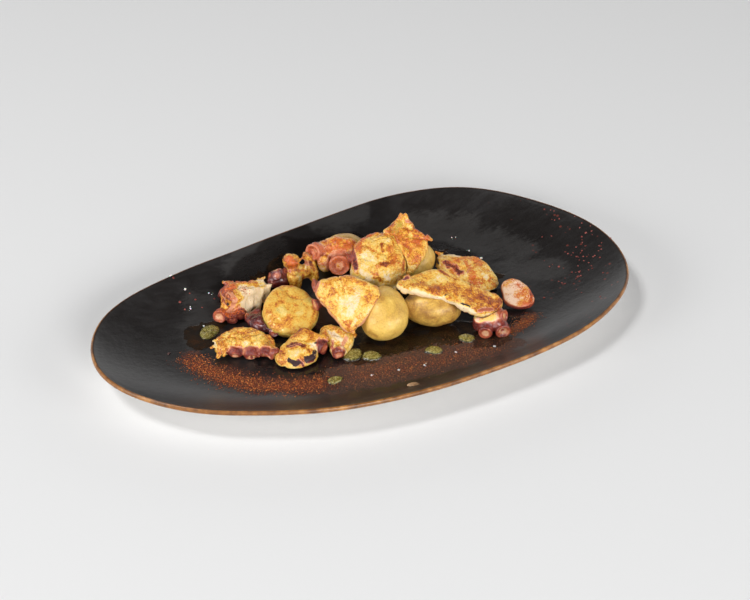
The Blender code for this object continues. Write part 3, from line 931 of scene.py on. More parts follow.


# %% [markdown]
# ## Browning, skin and burns
#
# Each piece is painted the way it was cooked. The upper face is seared, the cut sides stay pale, and the
# skin is left on the suckers and underneath, where its dark purple is partly painted shade. Then come
# strokes: a stroke follows a short path on the surface and turns one layer towards a value, with a ragged
# edge. Its places are millimetres from the middle of the piece's own box.

# %% The strokes
# Each stroke: layer, value or strength, half width in mm, then the places of its path.
STROKES = {
    "octopus_arm_left": (
        ("spice", 0.7, 3.4, (-2, 9, 9), (11, 6, 7)),
        ("skin", 0.9, 2.0, (-6, 9, 8), (-8, 10, 5), (-11, 1, 5)),
        ("sear", 0.62, 3.1, (-3, 8, 9), (6, 5, 8), (16, -2, 7)),
        ("sear", 0.82, 1.4, (-2, 11, 8), (3, 10, 8), (12, 6, 7)),
        ("skin", 0.75, 2.0, (-6, 9, 8), (-8, 8, 6), (-9, 0, 7)),
        ("pale", 1, 4.8, (1, -8, 1), (7, -6, 1), (17, -3, 3)),
        ("pale", 1, 3.4, (5, -5, -8)),
        ("skin", 0.3, 1.8, (-7, -3, 8), (-6, -8, 6), (-8, -7, 1), (-11, -7, -3)),
        ("char", 1, 1.1, (-10, -4, 1)),
        ("sear", 0.8, 1.4, (-5, -9, 0), (-4, -12, -2)),
        ("skin", 0.9, 2.7, (-14, -12, -6), (-8, -13, -8), (-3, -13, -7)),
        ("sear", 0.6, 1.7, (-14, -1, 0), (-16, -9, 0)),
    ),
    "potato_slice": (
        ("pale", 0.9, 2.7, (4, -9, 3)),
        ("pale", 0.8, 2.7, (-6, -1, 4), (-6, -4, 3)),
        ("sear", 0.6, 2.0, (-7, -11, 1), (-13, -10, 0)),
        ("sear", 0.6, 1.0, (4.2, 19.5, 8.0), (9.4, 16.9, 7.9), (13.8, 12.1, 7.3)),
        ("char", 1, 0.5, (-1.1, 12.5, 7.8)),
        ("sear", 0.45, 2.7, (1, 1, 6)),
        ("pale", 0.6, 2.0, (9, -12, 3)),
        ("sear", 0.5, 1.4, (18, -2, 4), (16, -10, 3)),
    ),
    "octopus_slice_front": (
        ("spice", 0.5, 2.7, (2, 2, 10), (3, -8, 5)),
        ("spice", 0.6, 2.0, (-10, -14, -4), (-8, -18, -7)),
        ("sear", 0.66, 3.1, (-10, 4, 8)),
        ("sear", 0.58, 2.0, (-13, 11, 11), (-5, 11, 13), (4, 7, 13), (11, 0, 11)),
        ("pale", 0.9, 4.1, (-6, -5, 4), (0, -7, 5), (-5, -11, 0)),
        ("sear", 0.4, 2.0, (3, -11, 3), (-4, -15, -2)),
        ("skin", 0.75, 2.0, (-18, 11, 1), (-16, 3, -4), (-13, -6, -9), (-10, -13, -12)),
        ("skin", 0.5, 2.0, (-16, 15, 10), (-19, 12, 7)),
        ("pale", 0.8, 1.4, (-7, -17, -6), (-4, -16, -3)),
        ("sear", 0.5, 1.7, (-4, 2, 9), (1, -1, 8)),
        ("sear", 0.45, 1.4, (13, -6, 9), (15, -9, 7)),
    ),
    "octopus_front_middle": (
        ("pale", 1, 2.7, (-4, 6, 5), (-1, -4, 3)),
        ("pale", 1, 2.7, (-3, -11, 3), (-9, -13, -2)),
        ("skin", 0.28, 1.7, (3, -4, 3), (-6, -12, 0)),
        ("spice", 0.5, 1.4, (-5, 8, 5), (-4, 1, 4)),
        ("sear", 0.5, 1.7, (-4, 13, 4), (-2, 6, 5)),
        ("sear", 0.5, 1.4, (5, -1, 4), (8, -3, 2)),
        ("skin", 0.5, 1.4, (-7, -3, 2), (-9, -8, 0)),
        ("sear", 0.6, 1.0, (-4.5, -13.2, 2.0)),
    ),
    "octopus_arm_front": (
        ("sear", 0.85, 1.8, (2, 11, 5), (7, 11, 6), (12, 6, 5)),
        ("sear", 1, 1.6, (-8, 2, 3), (-4, 2, 4), (1, -3, 4)),
        ("skin", 0.9, 0.8, (-7.0, 0.7, 2.7), (-0.5, -0.7, 3.8)),
        ("char", 1, 2.3, (-11, -8, -1), (-9, -10, -2)),
        ("char", 1, 1.5, (-8, -11, -3), (-6, -11, -2)),
        ("char", 1, 2.3, (-1, -12, -1), (3, -11, -1)),
        ("char", 0.9, 1.9, (5, -9, 0), (9, -7, 1)),
        ("skin", 0.9, 1.1, (-6, -10, -1), (-4, -13, -4)),
        ("skin", 0.8, 0.8, (-0.6, -12.8, -2.5), (3.0, -12.5, -3.1)),
        ("pale", 0.9, 2.7, (7, -5, 3), (9, -7, 0)),
        ("skin", 0.95, 2.7, (12, -5, 3), (14, -5, -3), (13, -5, -6)),
        ("sear", 0.5, 2.0, (1, 3, 5), (-5, 6, 4)),
        ("pale", 0.7, 1.4, (-15, -8, -4), (-6, -13, -7), (2, -12, -7)),
        ("pale", 0.7, 2.0, (-8, -3, 1), (-1, -6, 1)),
        ("char", 0.8, 0.8, (8.6, -3.9, 3.7), (12.7, -2.8, 4.0)),
    ),
    "octopus_arm_front_left": (
        ("pale", 0.9, 2.2, (0, -2, 3)),
        ("sear", 0.66, 2.0, (-12, 6, 4), (-4, 9, 5)),
        ("olive", 0.5, 2.7, (11, -3, 4), (14, -9, 2)),
        ("pale", 0.9, 1.6, (-17, 11, 1), (-18, 6, 1)),
        ("pale", 0.6, 1.4, (3, -9, 1), (9, -12, 0)),
        ("sear", 0.7, 1.4, (0, 7, 6), (7, 5, 6)),
        ("skin", 0.8, 1.4, (-12, 0, -2), (-6, -3, -5), (1, -9, -4), (9, -11, -4), (13, -16, -3)),
        ("sear", 0.9, 1.0, (-11.8, -0.1, 1.3), (-4.9, -3.2, -1.3), (0.7, -10.1, 0.6), (8.5, -11.5, 0.5)),
        ("char", 0.7, 1.0, (12.9, -15.6, -2.3)),
    ),
    "octopus_slice_upper": (
        ("sear", 0.7, 2.4, (-12, 8, 9), (-5, 14, 12), (4, 16, 14), (11, 14, 14)),
        ("pale", 0.8, 4.1, (-9, 0, 8), (-6, -7, 7)),
        ("sear", 0.9, 1.5, (5, 3, 12), (3, -2, 10)),
        ("sear", 0.97, 2.0, (-2, -11, 6), (2, -12, 6)),
        ("sear", 0.5, 4.1, (12, -5, 10), (10, -14, 6)),
        ("pale", 1, 3.1, (-2, -20, 0)),
        ("pale", 0.9, 2.7, (-16, -8, 2), (-12, -12, -1)),
        ("skin", 0.25, 1.4, (1, -21, -4)),
        ("skin", 0.95, 2.2, (-12, 14, 7), (-16, 3, 6), (-18, -3, 3)),
        ("sear", 0.8, 1.0, (17.8, 6.3, 9.3), (17.8, -4.7, 5.4), (12.2, -16.3, 3.4)),
        ("spice", 0.8, 2.0, (-10, 9, 10), (-1, 15, 13), (9, 16, 14)),
        ("sear", 0.6, 1.4, (-7, -14, 2), (-6, -17, -3)),
    ),
    "octopus_slice_back": (
        ("olive", 0.95, 2.7, (-7, 9, 9), (-2, 11, 11)),
        ("skin", 0.35, 1.1, (4, 18, 13), (5, 11, 11)),
        ("sear", 0.75, 1.8, (9, 7, 8), (13, -1, 5), (13, -5, 3)),
        ("pale", 0.5, 2.0, (2, 1, 7)),
        ("spice", 0.8, 1.7, (10, 5, 7), (13, -4, 4)),
        ("sear", 0.55, 2.7, (0, -9, 2), (-6, -15, -3)),
        ("pale", 0.5, 1.4, (2, 12, 12), (5, 6, 9)),
    ),
    "octopus_slice_right": (
        ("pale", 0.9, 2.0, (-9, 18, 7), (-1, 12, 7)),
        ("skin", 1, 2.4, (-12, 8, 7), (-9, 3, 5), (-8, -3, 4)),
        ("char", 0.95, 1.5, (-16, 16, 7), (-18, 10, 6)),
        ("sear", 0.9, 1.8, (12, 7, 4), (16, 4, 1)),
        ("spice", 0.85, 2.7, (1, 4, 5), (0, -5, 3), (0, -15, -2)),
        ("pale", 1, 3.4, (8, -11, -1)),
        ("olive", 0.85, 1.8, (17, -1, -1), (19, -9, -4), (17, -16, -6)),
        ("char", 1, 0.6, (12.5, -13.2, -2.4)),
        ("char", 1, 0.3, (8.6, -2.9, 2.2)),
        ("sear", 0.5, 1.7, (4, 10, 6), (7, 5, 5)),
    ),
    "octopus_slab_long": (
        ("sear", 0.45, 4.1, (-26, 13, 11), (-15, 15, 11), (-7, 14, 10)),
        ("sear", 0.66, 4.8, (2, 2, 5), (10, -5, 1)),
        ("sear", 0.78, 4.1, (18, -10, -2), (27, -15, -6)),
        ("skin", 0.85, 2.0, (-27, 17, 11), (-24, 17, 11)),
        ("pale", 1, 2.2, (-31, 14, 6), (-24, 6, 7), (-16, 0, 4), (-7, -5, 0), (1, -12, -3), (6, -18, -4)),
        ("char", 1, 0.7, (-7.6, -2.7, 4.8), (-4.7, -3.0, 4.4)),
        ("char", 1, 0.5, (-3.1, -6.9, 2.7)),
        ("char", 0.9, 0.8, (1.1, -11.7, 0.4), (5.9, -15.2, -1.3)),
        ("skin", 0.55, 1.5, (11, -19, -4), (21, -19, -6)),
        ("sear", 0.85, 1.4, (1, 17, 9), (8, 8, 6)),
        ("olive", 0.4, 2.7, (-20, 13, 11)),
    ),
    "octopus_disc_right": (
        ("skin", 0.85, 1.6, (-9, -2, -4), (-7, -7, -5), (-2, -11, -5), (4, -12, -1), (9, -5, 2)),
        ("pale", 0.9, 2.0, (-3, 1, 3)),
        ("spice", 0.8, 2.0, (3, 3, 5), (4, -3, 3)),
        ("pale", 0.7, 1.4, (0, -7, 1)),
    ),
    "octopus_suckers_right": (
        ("skin", 0, 2.2, (-9, 5, 5), (1, 5, 3), (7, 0, 6)),
        ("sear", 0.42, 2.3, (-9, 5, 5), (1, 5, 3), (7, 0, 6)),
        ("spice", 0.7, 1.1, (-8, 0, 5), (0, -1, 6), (7, -2, 6)),
    ),
    "octopus_arm_back": (
        ("sear", 0.85, 1.8, (-12, -5, 5), (-5, -6, 2)),
        ("pale", 0.5, 2.0, (3, -4, 8)),
        ("skin", 0.5, 2.0, (-15, -4, 1), (-13, -8, 1)),
        ("sear", 0.5, 2.0, (-1, 6, 11), (6, -2, 10)),
        ("pale", 0.85, 2.0, (-14, -7, -1), (-9, -4, -9)),
        ("char", 0.9, 2.0, (-15, -3, -4), (-14, -2, -7)),
        ("spice", 0.9, 2.7, (-8, -1, 7), (1, -6, 7), (9, -5, 9)),
        ("sear", 0.8, 1.4, (-11, 5, 11), (-4, 0, 9)),
        ("skin", 0.6, 1.4, (8, -9, 5), (11, -7, -5)),
    ),
    "octopus_arm_tip": (
        ("spice", 1, 3.4, (-8, 0, 12), (-6, -3, 9)),
        ("sear", 0.8, 1.7, (-10, -1, 7), (-4, -3, 6)),
        ("skin", 0.45, 1.7, (2, -1, 7), (5, -4, 6)),
        ("pale", 0.6, 1.7, (-1, -3, 4)),
        ("sear", 0.85, 1.4, (6, -4, 7), (8, -6, 1)),
        ("spice", 0.9, 2.0, (-7, -2, 10)),
        ("pale", 0.45, 1.4, (-5, -5, 2), (-3, -6, -4)),
        ("sear", 0.65, 1.5, (7, -6, 3), (4, -7, -2)),
        ("pale", 0.8, 1.0, (4.0, -3.2, 7.2), (2.4, -4.8, 3.7)),
        ("sear", 0.8, 1.0, (-0.4, -5.8, -0.7), (0.3, -3.4, -8.0)),
        ("skin", 0.5, 0.8, (-8.6, 2.2, 0.9), (-8.4, -2.1, 2.8)),
    ),
    "octopus_suckers_back": (
        ("skin", 0.9, 8.2, (-2, -3, 3), (2, -5, 3)),
    ),
    "octopus_suckers_under": (
        # The whole piece is painted dark as shade, since it lies in shadow beneath its neighbours.
        ("skin", 1, 9.5, (-2, 5, 3), (-1, -4, 2), (1, -12, 0)),
    ),
    "potato_whole": (
        # This pale patch on top of the whole potato is a painted highlight.
        ("pale", 0.8, 4.8, (-6, -1, 11), (0, -4, 11)),
        ("sear", 0.35, 2.0, (8, -12, 7), (10, -14, 3)),
        ("char", 0.6, 0.4, (-13.5, -6.2, 2.8)),
        ("char", 0.5, 0.3, (3.7, -14.9, -2.2)),
    ),
    "potato_half": (
        ("char", 0.7, 0.5, (-9.3, -17.2, -2.9)),
        ("sear", 0.4, 2.0, (-15, -10, -4), (-13, -14, -5)),
        ("pale", 0.5, 1.4, (-9, -17, -5)),
    ),
}
print("strokes:", sum(len(rows) for rows in STROKES.values()))


# %% [markdown]
# ## Where the tips and suckers are
#
# These two tables say where torn tips and suckers grow, in millimetres from the middle of the piece's own
# box. A sucker also has the direction that it faces, its radius and its warmth: 1 for one that has taken
# spice and heat, 0 for a purple one, and below 0 for one painted darker as shade, where it lies in shadow.

# %% Places of the torn tips and suckers
# Torn tips: root and point in mm from the middle of the box, half width and browning.
TABS = {
    "octopus_arm_tip": (
        ((-3.3, -2.0, 7.4), (2.6, -1.7, 11.6), 2.2, 0.7),
    ),
    "octopus_arm_front_left": (
        ((-14.8, 7.6, 2.2), (-20.8, 8.5, -0.5), 3.2, 0.6),
        ((-13.5, 10.3, 2.8), (-18.3, 11.9, 1.7), 2.6, 0.6),
        ((-14.5, 3.3, 0.9), (-19.2, 0.4, -3.7), 3.0, 0.6),
        ((-13.6, 2.0, 1.7), (-15.6, -2.1, -2.5), 2.2, 0.6),
        ((-3.2, -0.3, 0.4), (-5.2, -5.3, -2.7), 2.4, 0.6),
        ((5.6, -6.2, 0.5), (4.6, -11.9, -2.8), 2.6, 0.6),
        ((9.3, -10.3, -0.0), (12.4, -16.6, -3.9), 3.0, 0.6),
    ),
    "octopus_arm_front": (
        ((15.4, 1.3, 3.7), (19.2, -2.6, 1.3), 4.0, 0.6),
    ),
    "octopus_slice_back": (
        ((2.0, 13.5, 9.9), (4.3, 16.9, 15.6), 5.5, 0.6),
        ((12.0, -0.8, 3.9), (16.2, -4.7, 1.6), 4.0, 0.6),
    ),
    "octopus_arm_left": (
        ((16.1, 5.4, 5.8), (21.7, 4.5, 8.4), 3.6, 0.6),
        ((-2.6, 9.8, 7.2), (-7.3, 12.7, 8.0), 3.4, 0.6),
        ((5.4, -1.2, 7.7), (0.7, -9.0, -9.0), 7.0, 0.02),
        ((11.2, -1.2, 7.5), (8.1, -8.8, -9.9), 7.5, 0.02),
        ((17.9, -0.8, 6.8), (15.6, -5.3, -6.3), 5.5, 0.02),
        ((-8.1, 4.2, 6.5), (-12.4, 4.0, 3.4), 2.4, 0.6),
    ),
    "octopus_front_middle": (
        ((8.6, 4.7, 2.9), (11.8, -0.1, -1.1), 4.0, 0.6),
    ),
    "octopus_slab_long": (
        ((-21.3, 17.8, 10.9), (-26.4, 19.8, 10.1), 3.6, 0.6),
    ),
    "octopus_slice_right": (
        ((-9.1, 18.3, 5.7), (-14.0, 22.6, 7.9), 3.6, 0.6),
    ),
    "octopus_slice_front": (
        ((-7.3, -16.4, -6.5), (-7.1, -19.9, -10.9), 3.4, 0.6),
    ),
}
# Suckers: place from the middle of the box in mm, heading, pitch, radius in mm and warmth.
CUPS = {
    "octopus_arm_left": (
        (-18.5, -9.4, -2.9, -130, 10, 4.6, 0),
        (-11.5, -14.4, -4.9, -115, -20, 4.0, -0.7),
        (-4.5, -12.4, -4.9, -100, -15, 3.6, -0.8),
        (-6.5, 14.6, -2.9, 110, 10, 4.2, 0),
        (7.5, 13.6, -1.9, 95, 10, 4.2, 0),
    ),
    "octopus_suckers_back": (
        (-2.4, -3.3, 4.3, -140, 50, 3.6, -0.5),
        (5.6, -1.3, 4.3, -80, 60, 3.4, -0.6),
        (-5.4, 1.7, 1.3, 170, 20, 3.2, -0.5),
    ),
    "octopus_suckers_under": (
        (0.3, 9.4, 0.9, -130, 50, 3.8, -1),
        (-2.7, -1.6, 0.4, -150, 40, 3.6, -1),
        (3.3, -12.6, -0.1, -120, 40, 3.6, -0.8),
    ),
    "octopus_suckers_right": (
        (-7.4, -6.2, -2.5, -125, -5, 4.7, 0),
        (3.6, -10.2, -2.5, -105, -5, 5.2, 0),
        (8.6, -2.2, 3.0, -60, 15, 4.2, 0.3),
    ),
    "octopus_arm_back": (
        (-2.7, -12.1, -0.5, -117, 15, 7.2, 1),
        (-15.7, 1.9, 6.0, -150, 10, 5.8, 1),
    ),
    "octopus_front_middle": (
        (-6.3, -12.3, -1.2, -110, -10, 3.3, -0.4),
    ),
    "octopus_slice_front": (
        (-17.5, 16.0, -6.7, -175, -5, 4.6, 0.1),
        (-13.5, 25.0, 1.3, 170, 5, 4.6, 0.3),
    ),
    "octopus_slice_upper": (
        (-17.4, 9.3, 3.3, 165, 0, 4.0, 0),
    ),
    "octopus_arm_front_left": (
        (-7.9, -2.6, -2.7, -120, -34, 3.8, -0.2),
        (1.1, -8.2, -2.7, -112, -34, 4.1, 0),
        (9.3, -11.0, -2.7, -115, -28, 3.4, -0.3),
        (15.0, -15.6, -2.2, -100, -14, 3.2, 0),
    ),
    "octopus_arm_front": (
        (14.0, -4.7, -1.8, -60, 0, 4.4, -0.6),
        (18.0, 1.3, -1.8, -40, 10, 3.4, -0.5),
    ),
}
print("torn tips and suckers:", *(sum(len(rows) for rows in table.values()) for table in (TABS, CUPS)))


# %% [markdown]
# ## Laying a stroke
#
# A stroke pulls its layer towards a value, most on its path and less towards its edge. The edge is ragged,
# because juice and heat don't stop at a line. "pale" is the opposite of a stroke: it takes colour away
# wherever flesh was torn or cut after the searing, and on the whole potato it paints a highlight.

# %% Strokes and torn tips
BARE_SEAR = 0.04  # what a pale stroke leaves of the browning


def ragged(points, size, seed):
    return 1 + 0.38 * lumps(points, size, seed) + 0.34 * lumps(points, size * 0.36, seed + 5, 2)


def path_share(node, points, path, inner, outer, edge=1.0):
    """1 within inner millimetres of a path in the node's own places and 0 beyond outer."""
    middle = np.array(middle_of(node))
    far = along(points, [middle + np.array(place) * MM for place in path])
    return 1 - ramp(far * edge, inner * MM, outer * MM)


def paint_strokes(node, points, layers):
    edge = ragged(points, 3.2, 40)
    for name, amount, radius, *path in STROKES.get(node, ()):
        share = path_share(node, points, path, 0.45 * radius, 1.3 * radius, edge)
        if name == "pale":
            for other in ("sear", "skin", "char", "spice", "olive"):
                target = BARE_SEAR if other == "sear" else 0.0
                layers[other] += (target - layers[other]) * share * amount
            continue
        layers[name] += (amount - layers[name]) * share
        if name == "sear":
            layers["skin"] *= 1 - share


def paint_tabs(node, points, layers):
    for root, tip, width, browning_there in TABS.get(node, ()):
        share = path_share(node, points, (root, tip), 0.7 * width, 1.4 * width)
        layers["sear"] += (browning_there - layers["sear"]) * share
        layers["skin"] *= 1 - share


print("pieces with strokes:", len(STROKES))


# %% [markdown]
# ## The colour of a sucker
#
# A cold sucker is purple outside and on its lip, and paler in the middle; if it is open, its hole is painted
# dark as shade. A warm one is the other way round: it has lost its purple, and a ring of it is left between
# the lip and a paler nub, painted as a highlight. Both are mixed by the sucker's warmth, and both wander, so
# that no two are the same.

# %% The colour of a sucker
def cold_skin(across, lip, hole_shade, uneven, painted_shade):
    """The purple of a cold sucker; its last value turns it towards the darkest, as painted shade for a sucker
    in shadow.
    """
    core = 1 - ramp(across * (1 + uneven), 0.40, 0.72)
    plain = 0.78 - 0.60 * core - 0.16 * lip + 0.6 * hole_shade + uneven
    return plain + (0.97 - 0.22 * core - 0.10 * lip - plain) * painted_shade


def warm_skin(across, lip, uneven):
    bent = across * (1 + 2.5 * uneven)
    # The paler nub in the middle of a warm sucker is a painted highlight.
    nub_highlight = 1 - ramp(bent, 0.14, 0.50)
    ring = ramp(bent, 0.34, 0.52) * (1 - ramp(bent, 0.58, 0.84))
    return 0.48 - 0.24 * nub_highlight + 0.14 * ring - 0.06 * lip + 1.4 * uneven


def paint_cups(node, points, layers):
    uneven = 0.10 * lumps(points, 1.6, 50) + 0.10 * lumps(points, 4.0, 51)
    for number, cup in enumerate(CUPS.get(node, ())):
        place, turn, radius = cup_frame(cup)
        # Warmth below 0 paints the sucker darker: painted shade for a sucker in shadow.
        painted_shade, warmth = max(0.0, -cup[6]), max(0.0, cup[6])
        local = (points - np.array(middle_of(node) + place)) @ np.array(turn) / radius
        across, height = np.hypot(local[:, 0], local[:, 1]), local[:, 2]
        near = (1 - ramp(across, 1.1, 1.5)) * ramp(height, -1.5, -0.7) * (1 - ramp(height, 0.6, 1.0))
        lip = ramp(across, 0.5, 0.7) * (1 - ramp(across, 0.84, 1.0)) * ramp(height, -0.2, 0.1)
        # An open cup's hole is painted dark: painted shade in the hole.
        hole_shade = (1 - ramp(across, 0.14, 0.30)) * (cup_depth(number) > 1)
        cold, warm = cold_skin(across, lip, hole_shade, uneven, painted_shade), warm_skin(across, lip, uneven)
        layers["skin"] += (cold + (warm - cold) * warmth - layers["skin"]) * near
        layers["sear"] += (0.1 + 0.5 * warmth - layers["sear"]) * near
        layers["spice"] += (0.55 * warmth - layers["spice"]) * near * warmth
        layers["char"] *= 1 - near
        layers["olive"] *= 1 - near


print("pieces with suckers:", len(CUPS))


# %% [markdown]
# ## Waves, crust and creases
#
# Heat shrinks the flesh. It swells in slow waves, its face roughens to a crust, and creases and finer
# wrinkles sink into it. Suckers are tougher and stay smoother, so the relief is weaker on them.

# %% Waves, crust and creases
WANDER = 4  # millimetres
CALM = 0.55  # how much of the relief a sucker keeps


def creases(points, seed):
    """Creases and finer wrinkles, both from 0 to 1, along lines that wander."""
    bent = points + np.column_stack([lumps(points, 14, seed + more) for more in (6, 7, 8)]) * WANDER * MM
    crease = 1 - ramp(np.abs(lumps(bent, 13, seed + 5)), 0.0, 0.22)
    wrinkle = 1 - ramp(np.abs(lumps(bent, 5.5, seed + 10)), 0.0, 0.30)
    return crease, wrinkle


def softer_on_cups(node, points):
    """How much of the relief stays: CALM on a sucker and 1 elsewhere."""
    share = np.ones(len(points))
    for cup in CUPS.get(node, ()):
        place, turn, radius = cup_frame(cup)
        far = np.linalg.norm(points - np.array(middle_of(node) + place), axis=1)
        share *= CALM + (1 - CALM) * ramp(far, 1.1 * radius, 1.6 * radius)
    return share


def relief(points, outer, seed, wave, crust):
    """Waves all over, and a crust that is strongest on the outer face, in millimetres."""
    rise = wave * (0.7 * lumps(points, 10, seed) + 0.32 * lumps(points, 4.6, seed + 4))
    rough = lumps(points, 2.6, seed + 1) + 0.55 * lumps(points, 1.15, seed + 3)
    return rise + crust * rough * (0.35 + 0.65 * outer)


def pushed_out(mesh, points, normals, rise):
    """Moves each point along its normal by its rise in millimetres."""
    points += normals * (rise * MM)[:, None]
    set_points(mesh, points)


print("creases wander by", WANDER, "mm")


# %% [markdown]
# ## Finishing a piece
#
# Whatever it is, a piece ends in the same way: its layers are written on the mesh, it gets its material, and
# it takes the place of the plain solid that it grew from.

# %% Finish a piece
def finish_food(name, node, mesh, layers, slot):
    for layer, values in layers.items():
        set_paint(mesh, layer, values)
    mesh.shade_smooth()
    piece = linked(name, mesh)
    piece.data.materials.append(finishes[slot])
    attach(piece, "root")
    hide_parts(node)
    print(name, "faces", len(mesh.polygons))


# %% [markdown]
# ## From numbers to a piece of octopus
#
# The face that lay in the pan is browned most, above all round its rim, where the heat came from two sides.
# Its creases are browned a little more as painted shade. The cuts stay paler, and the underside is dark
# purple, partly skin and partly painted shade. A few numbers for each piece set how strong all this is, and
# strokes, torn tips and suckers are painted over it.

# %% A piece of octopus
def octopus(node, slot, face, seed, top=0.35, side=0.08, under=0.8, skin_side=0.0, swing=0.27, edge=0.30,
            crust=0.22, wave=0.7, fold=0.6, spice=0.18, olive=0.0):
    """Builds, roughens and paints a piece of octopus, browned by top on its face and by side on its cuts."""
    mesh = grown_body(node)
    points, normals = points_of(mesh), normals_of(mesh)
    upward = normals @ np.array(turned(face).col[2])
    outer = ramp(upward, 0.25, 0.75)
    crease, wrinkle = creases(points, seed)
    rise = relief(points, outer, seed, wave, crust) - fold * (crease + 0.45 * wrinkle)
    pushed_out(mesh, points, normals, rise * softer_on_cups(node, points))
    patch = lumps(points, 7, seed + 2, 2)
    rim_of_face = 4 * outer * (1 - outer) * (0.6 + 0.6 * lumps(points, 5, seed + 9))
    layers = {
        # The sear layer adds browning in creases and wrinkles, which is painted shade in them.
        "sear": (side + (top - side) * outer + swing * patch * outer + edge * np.clip(rim_of_face, 0, 1)
                 + (0.10 * crease + 0.12 * wrinkle) * outer),
        # The skin layer on the underside is partly purple skin and partly painted shade under the piece.
        "skin": np.maximum(under * ramp(-upward, 0.3, 0.75), skin_side * (1 - outer)),
        "char": np.zeros(len(points)),
        "spice": spice * (0.4 + 0.6 * outer) * (1 + 0.6 * patch),
        "olive": np.full(len(points), olive) * outer,
    }
    paint_tabs(node, points, layers)
    paint_strokes(node, points, layers)
    paint_cups(node, points, layers)
    finish_food(node + "_cooked", node, mesh, layers, slot)


# %% [markdown]
# ## The potatoes
# A baby potato boiled in its skin is nearly smooth, so it needs only slow lumps, a little unevenness and the
# fine relief of its material. The olive layer makes a potato darker and browner; on the whole potato, which
# lies under the long slab, it is partly its olive skin and partly painted shade. The greener ones get more of
# the olive layer.

# %% The potatoes
def potato(node, name, seed, olive):
    """Builds and paints one potato that still has its skin."""
    mesh = remeshed(merged_copy(node), POTATO_VOXEL, 18)
    fitted(mesh, node)
    points, normals = points_of(mesh), normals_of(mesh)
    rise = 0.8 * lumps(points, 13, seed) + 0.28 * lumps(points, 5, seed + 1)
    rise = rise + 0.06 * lumps(points, 1.6, seed + 2)
    pushed_out(mesh, points, normals, rise)
    layers = {layer: np.zeros(len(points)) for layer in ("skin", "char", "spice", "sear")}
    layers["olive"] = np.full(len(points), olive)
    paint_strokes(node, points, layers)
    finish_food(name, node, mesh, layers, "potato_skin")


# The whole potato's olive value is partly painted shade from the slab above it.
potato("potato_whole", "potato_whole_skin", 21, 0.6)
potato("potato_half", "potato_half_skin", 22, 0.1)
potato("potato_back", "potato_back_skin", 23, 0.35)
potato("potato_middle", "potato_middle_skin", 24, 0.2)


# %% [markdown]
# ## The octopus, piece by piece
#
# Every piece says which way its seared face looks, as (heading, tilt, lean) in degrees, and how far it was
# cooked. Slices are pale on their cuts, whole arms are browned all round, and the three pieces that lie
# suckers up keep their purple skin. The peeled potato slice was seared in the same pan and is made the same
# way.

# %% The octopus
octopus("potato_slice", "potato_flesh", (-27, 16, 0), 31, top=0.38, side=0.26, under=0.0, swing=0.26,
        crust=0.16, wave=0.8, fold=0.35, spice=0.10)
octopus("octopus_arm_left", "octopus_seared", (10, 6, 0), 32, top=0.76, side=0.62, crust=0.42, wave=1.2,
        fold=0.9, spice=0.55)
octopus("octopus_suckers_back", "octopus_skin", (-27, 10, 0), 33, top=0.2, under=0.9, skin_side=0.85,
        edge=0.0, crust=0.3, wave=1.0)
octopus("octopus_arm_tip", "octopus_seared", (-27, 0, 0), 34, top=0.62, side=0.52, under=0.6, crust=0.35,
        wave=0.9, spice=0.35, olive=0.3)
# The suckers underneath are painted dark all over: painted shade, since they lie in shadow.
octopus("octopus_suckers_under", "octopus_skin", (-64, 8, 0), 35, top=0.2, under=0.98, skin_side=0.98,
        edge=0.0, crust=0.4, wave=1.2)
octopus("octopus_slab_long", "octopus_seared", (-26, 12, 15), 36, top=0.50, side=0.12, crust=0.26, wave=0.9)
octopus("octopus_slice_right", "octopus_seared", (-49, 8, 16), 37, top=0.36, side=0.22, crust=0.26, wave=1.0,
        spice=0.5)
octopus("octopus_disc_right", "octopus_paprika", (-27, 20, 0), 38, top=0.14, side=0.10, skin_side=0.7,
        edge=0.0, crust=0.14, wave=0.3, fold=0.0, spice=0.62)
octopus("octopus_suckers_right", "octopus_skin", (-27, 14, 0), 39, top=0.2, under=0.95, skin_side=0.9,
        edge=0.0, crust=0.16, wave=0.5, fold=0.2)
octopus("octopus_arm_back", "octopus_paprika", (-27, 32, 0), 40, top=0.50, side=0.46, under=0.7, swing=0.25,
        crust=0.42, wave=1.2, spice=0.55)
octopus("octopus_front_middle", "octopus_seared", (-27, 15, 0), 41, top=0.30, side=0.24, crust=0.50, wave=1.2,
        spice=0.4)
octopus("octopus_slice_front", "octopus_seared", (-27, 36, 0), 42, top=0.37, side=0.24, skin_side=0.25,
        crust=0.24, wave=0.9)
octopus("octopus_slice_upper", "octopus_seared", (-27, 22, 0), 43, top=0.40, side=0.22, crust=0.28, wave=1.0,
        fold=0.9, spice=0.45)
octopus("octopus_slice_back", "octopus_seared", (-20, 28, 0), 44, top=0.46, side=0.30, crust=0.32, wave=1.0,
        fold=0.9, spice=0.45)
octopus("octopus_arm_front_left", "octopus_seared", (-27, 12, 0), 45, top=0.47, side=0.44, under=0.85,
        crust=0.55, wave=1.2)
octopus("octopus_arm_front", "octopus_seared", (-27, 22, 0), 46, top=0.42, side=0.30, crust=0.32, wave=1.0)


# %% [markdown]
# ## Sauce, spice and salt
#
# What the cook scatters last is made at its true size and laid on whatever is under it: a ray dropped from
# above finds the plate or the food. Oil, herb oil, paprika, pepper and salt all need it, so the plate and
# the food are each made into one searchable surface first.

# %% Find the surface under a place
def surface_of(pieces):
    points, faces, start = [], [], 0
    for piece in pieces:
        mesh = piece.data
        points.append(points_of(mesh))
        faces += [tuple(start + index for index in polygon.vertices) for polygon in mesh.polygons]
        start += len(mesh.vertices)
    return BVHTree.FromPolygons([tuple(point) for point in np.concatenate(points)], faces)


food_pieces = [item for item in bpy.data.objects if item.name.endswith(("_cooked", "_skin"))]
plate_surface = surface_of([plate])
food_surface = surface_of(food_pieces)
DOWN = Vector((0.0, 0.0, -1.0))


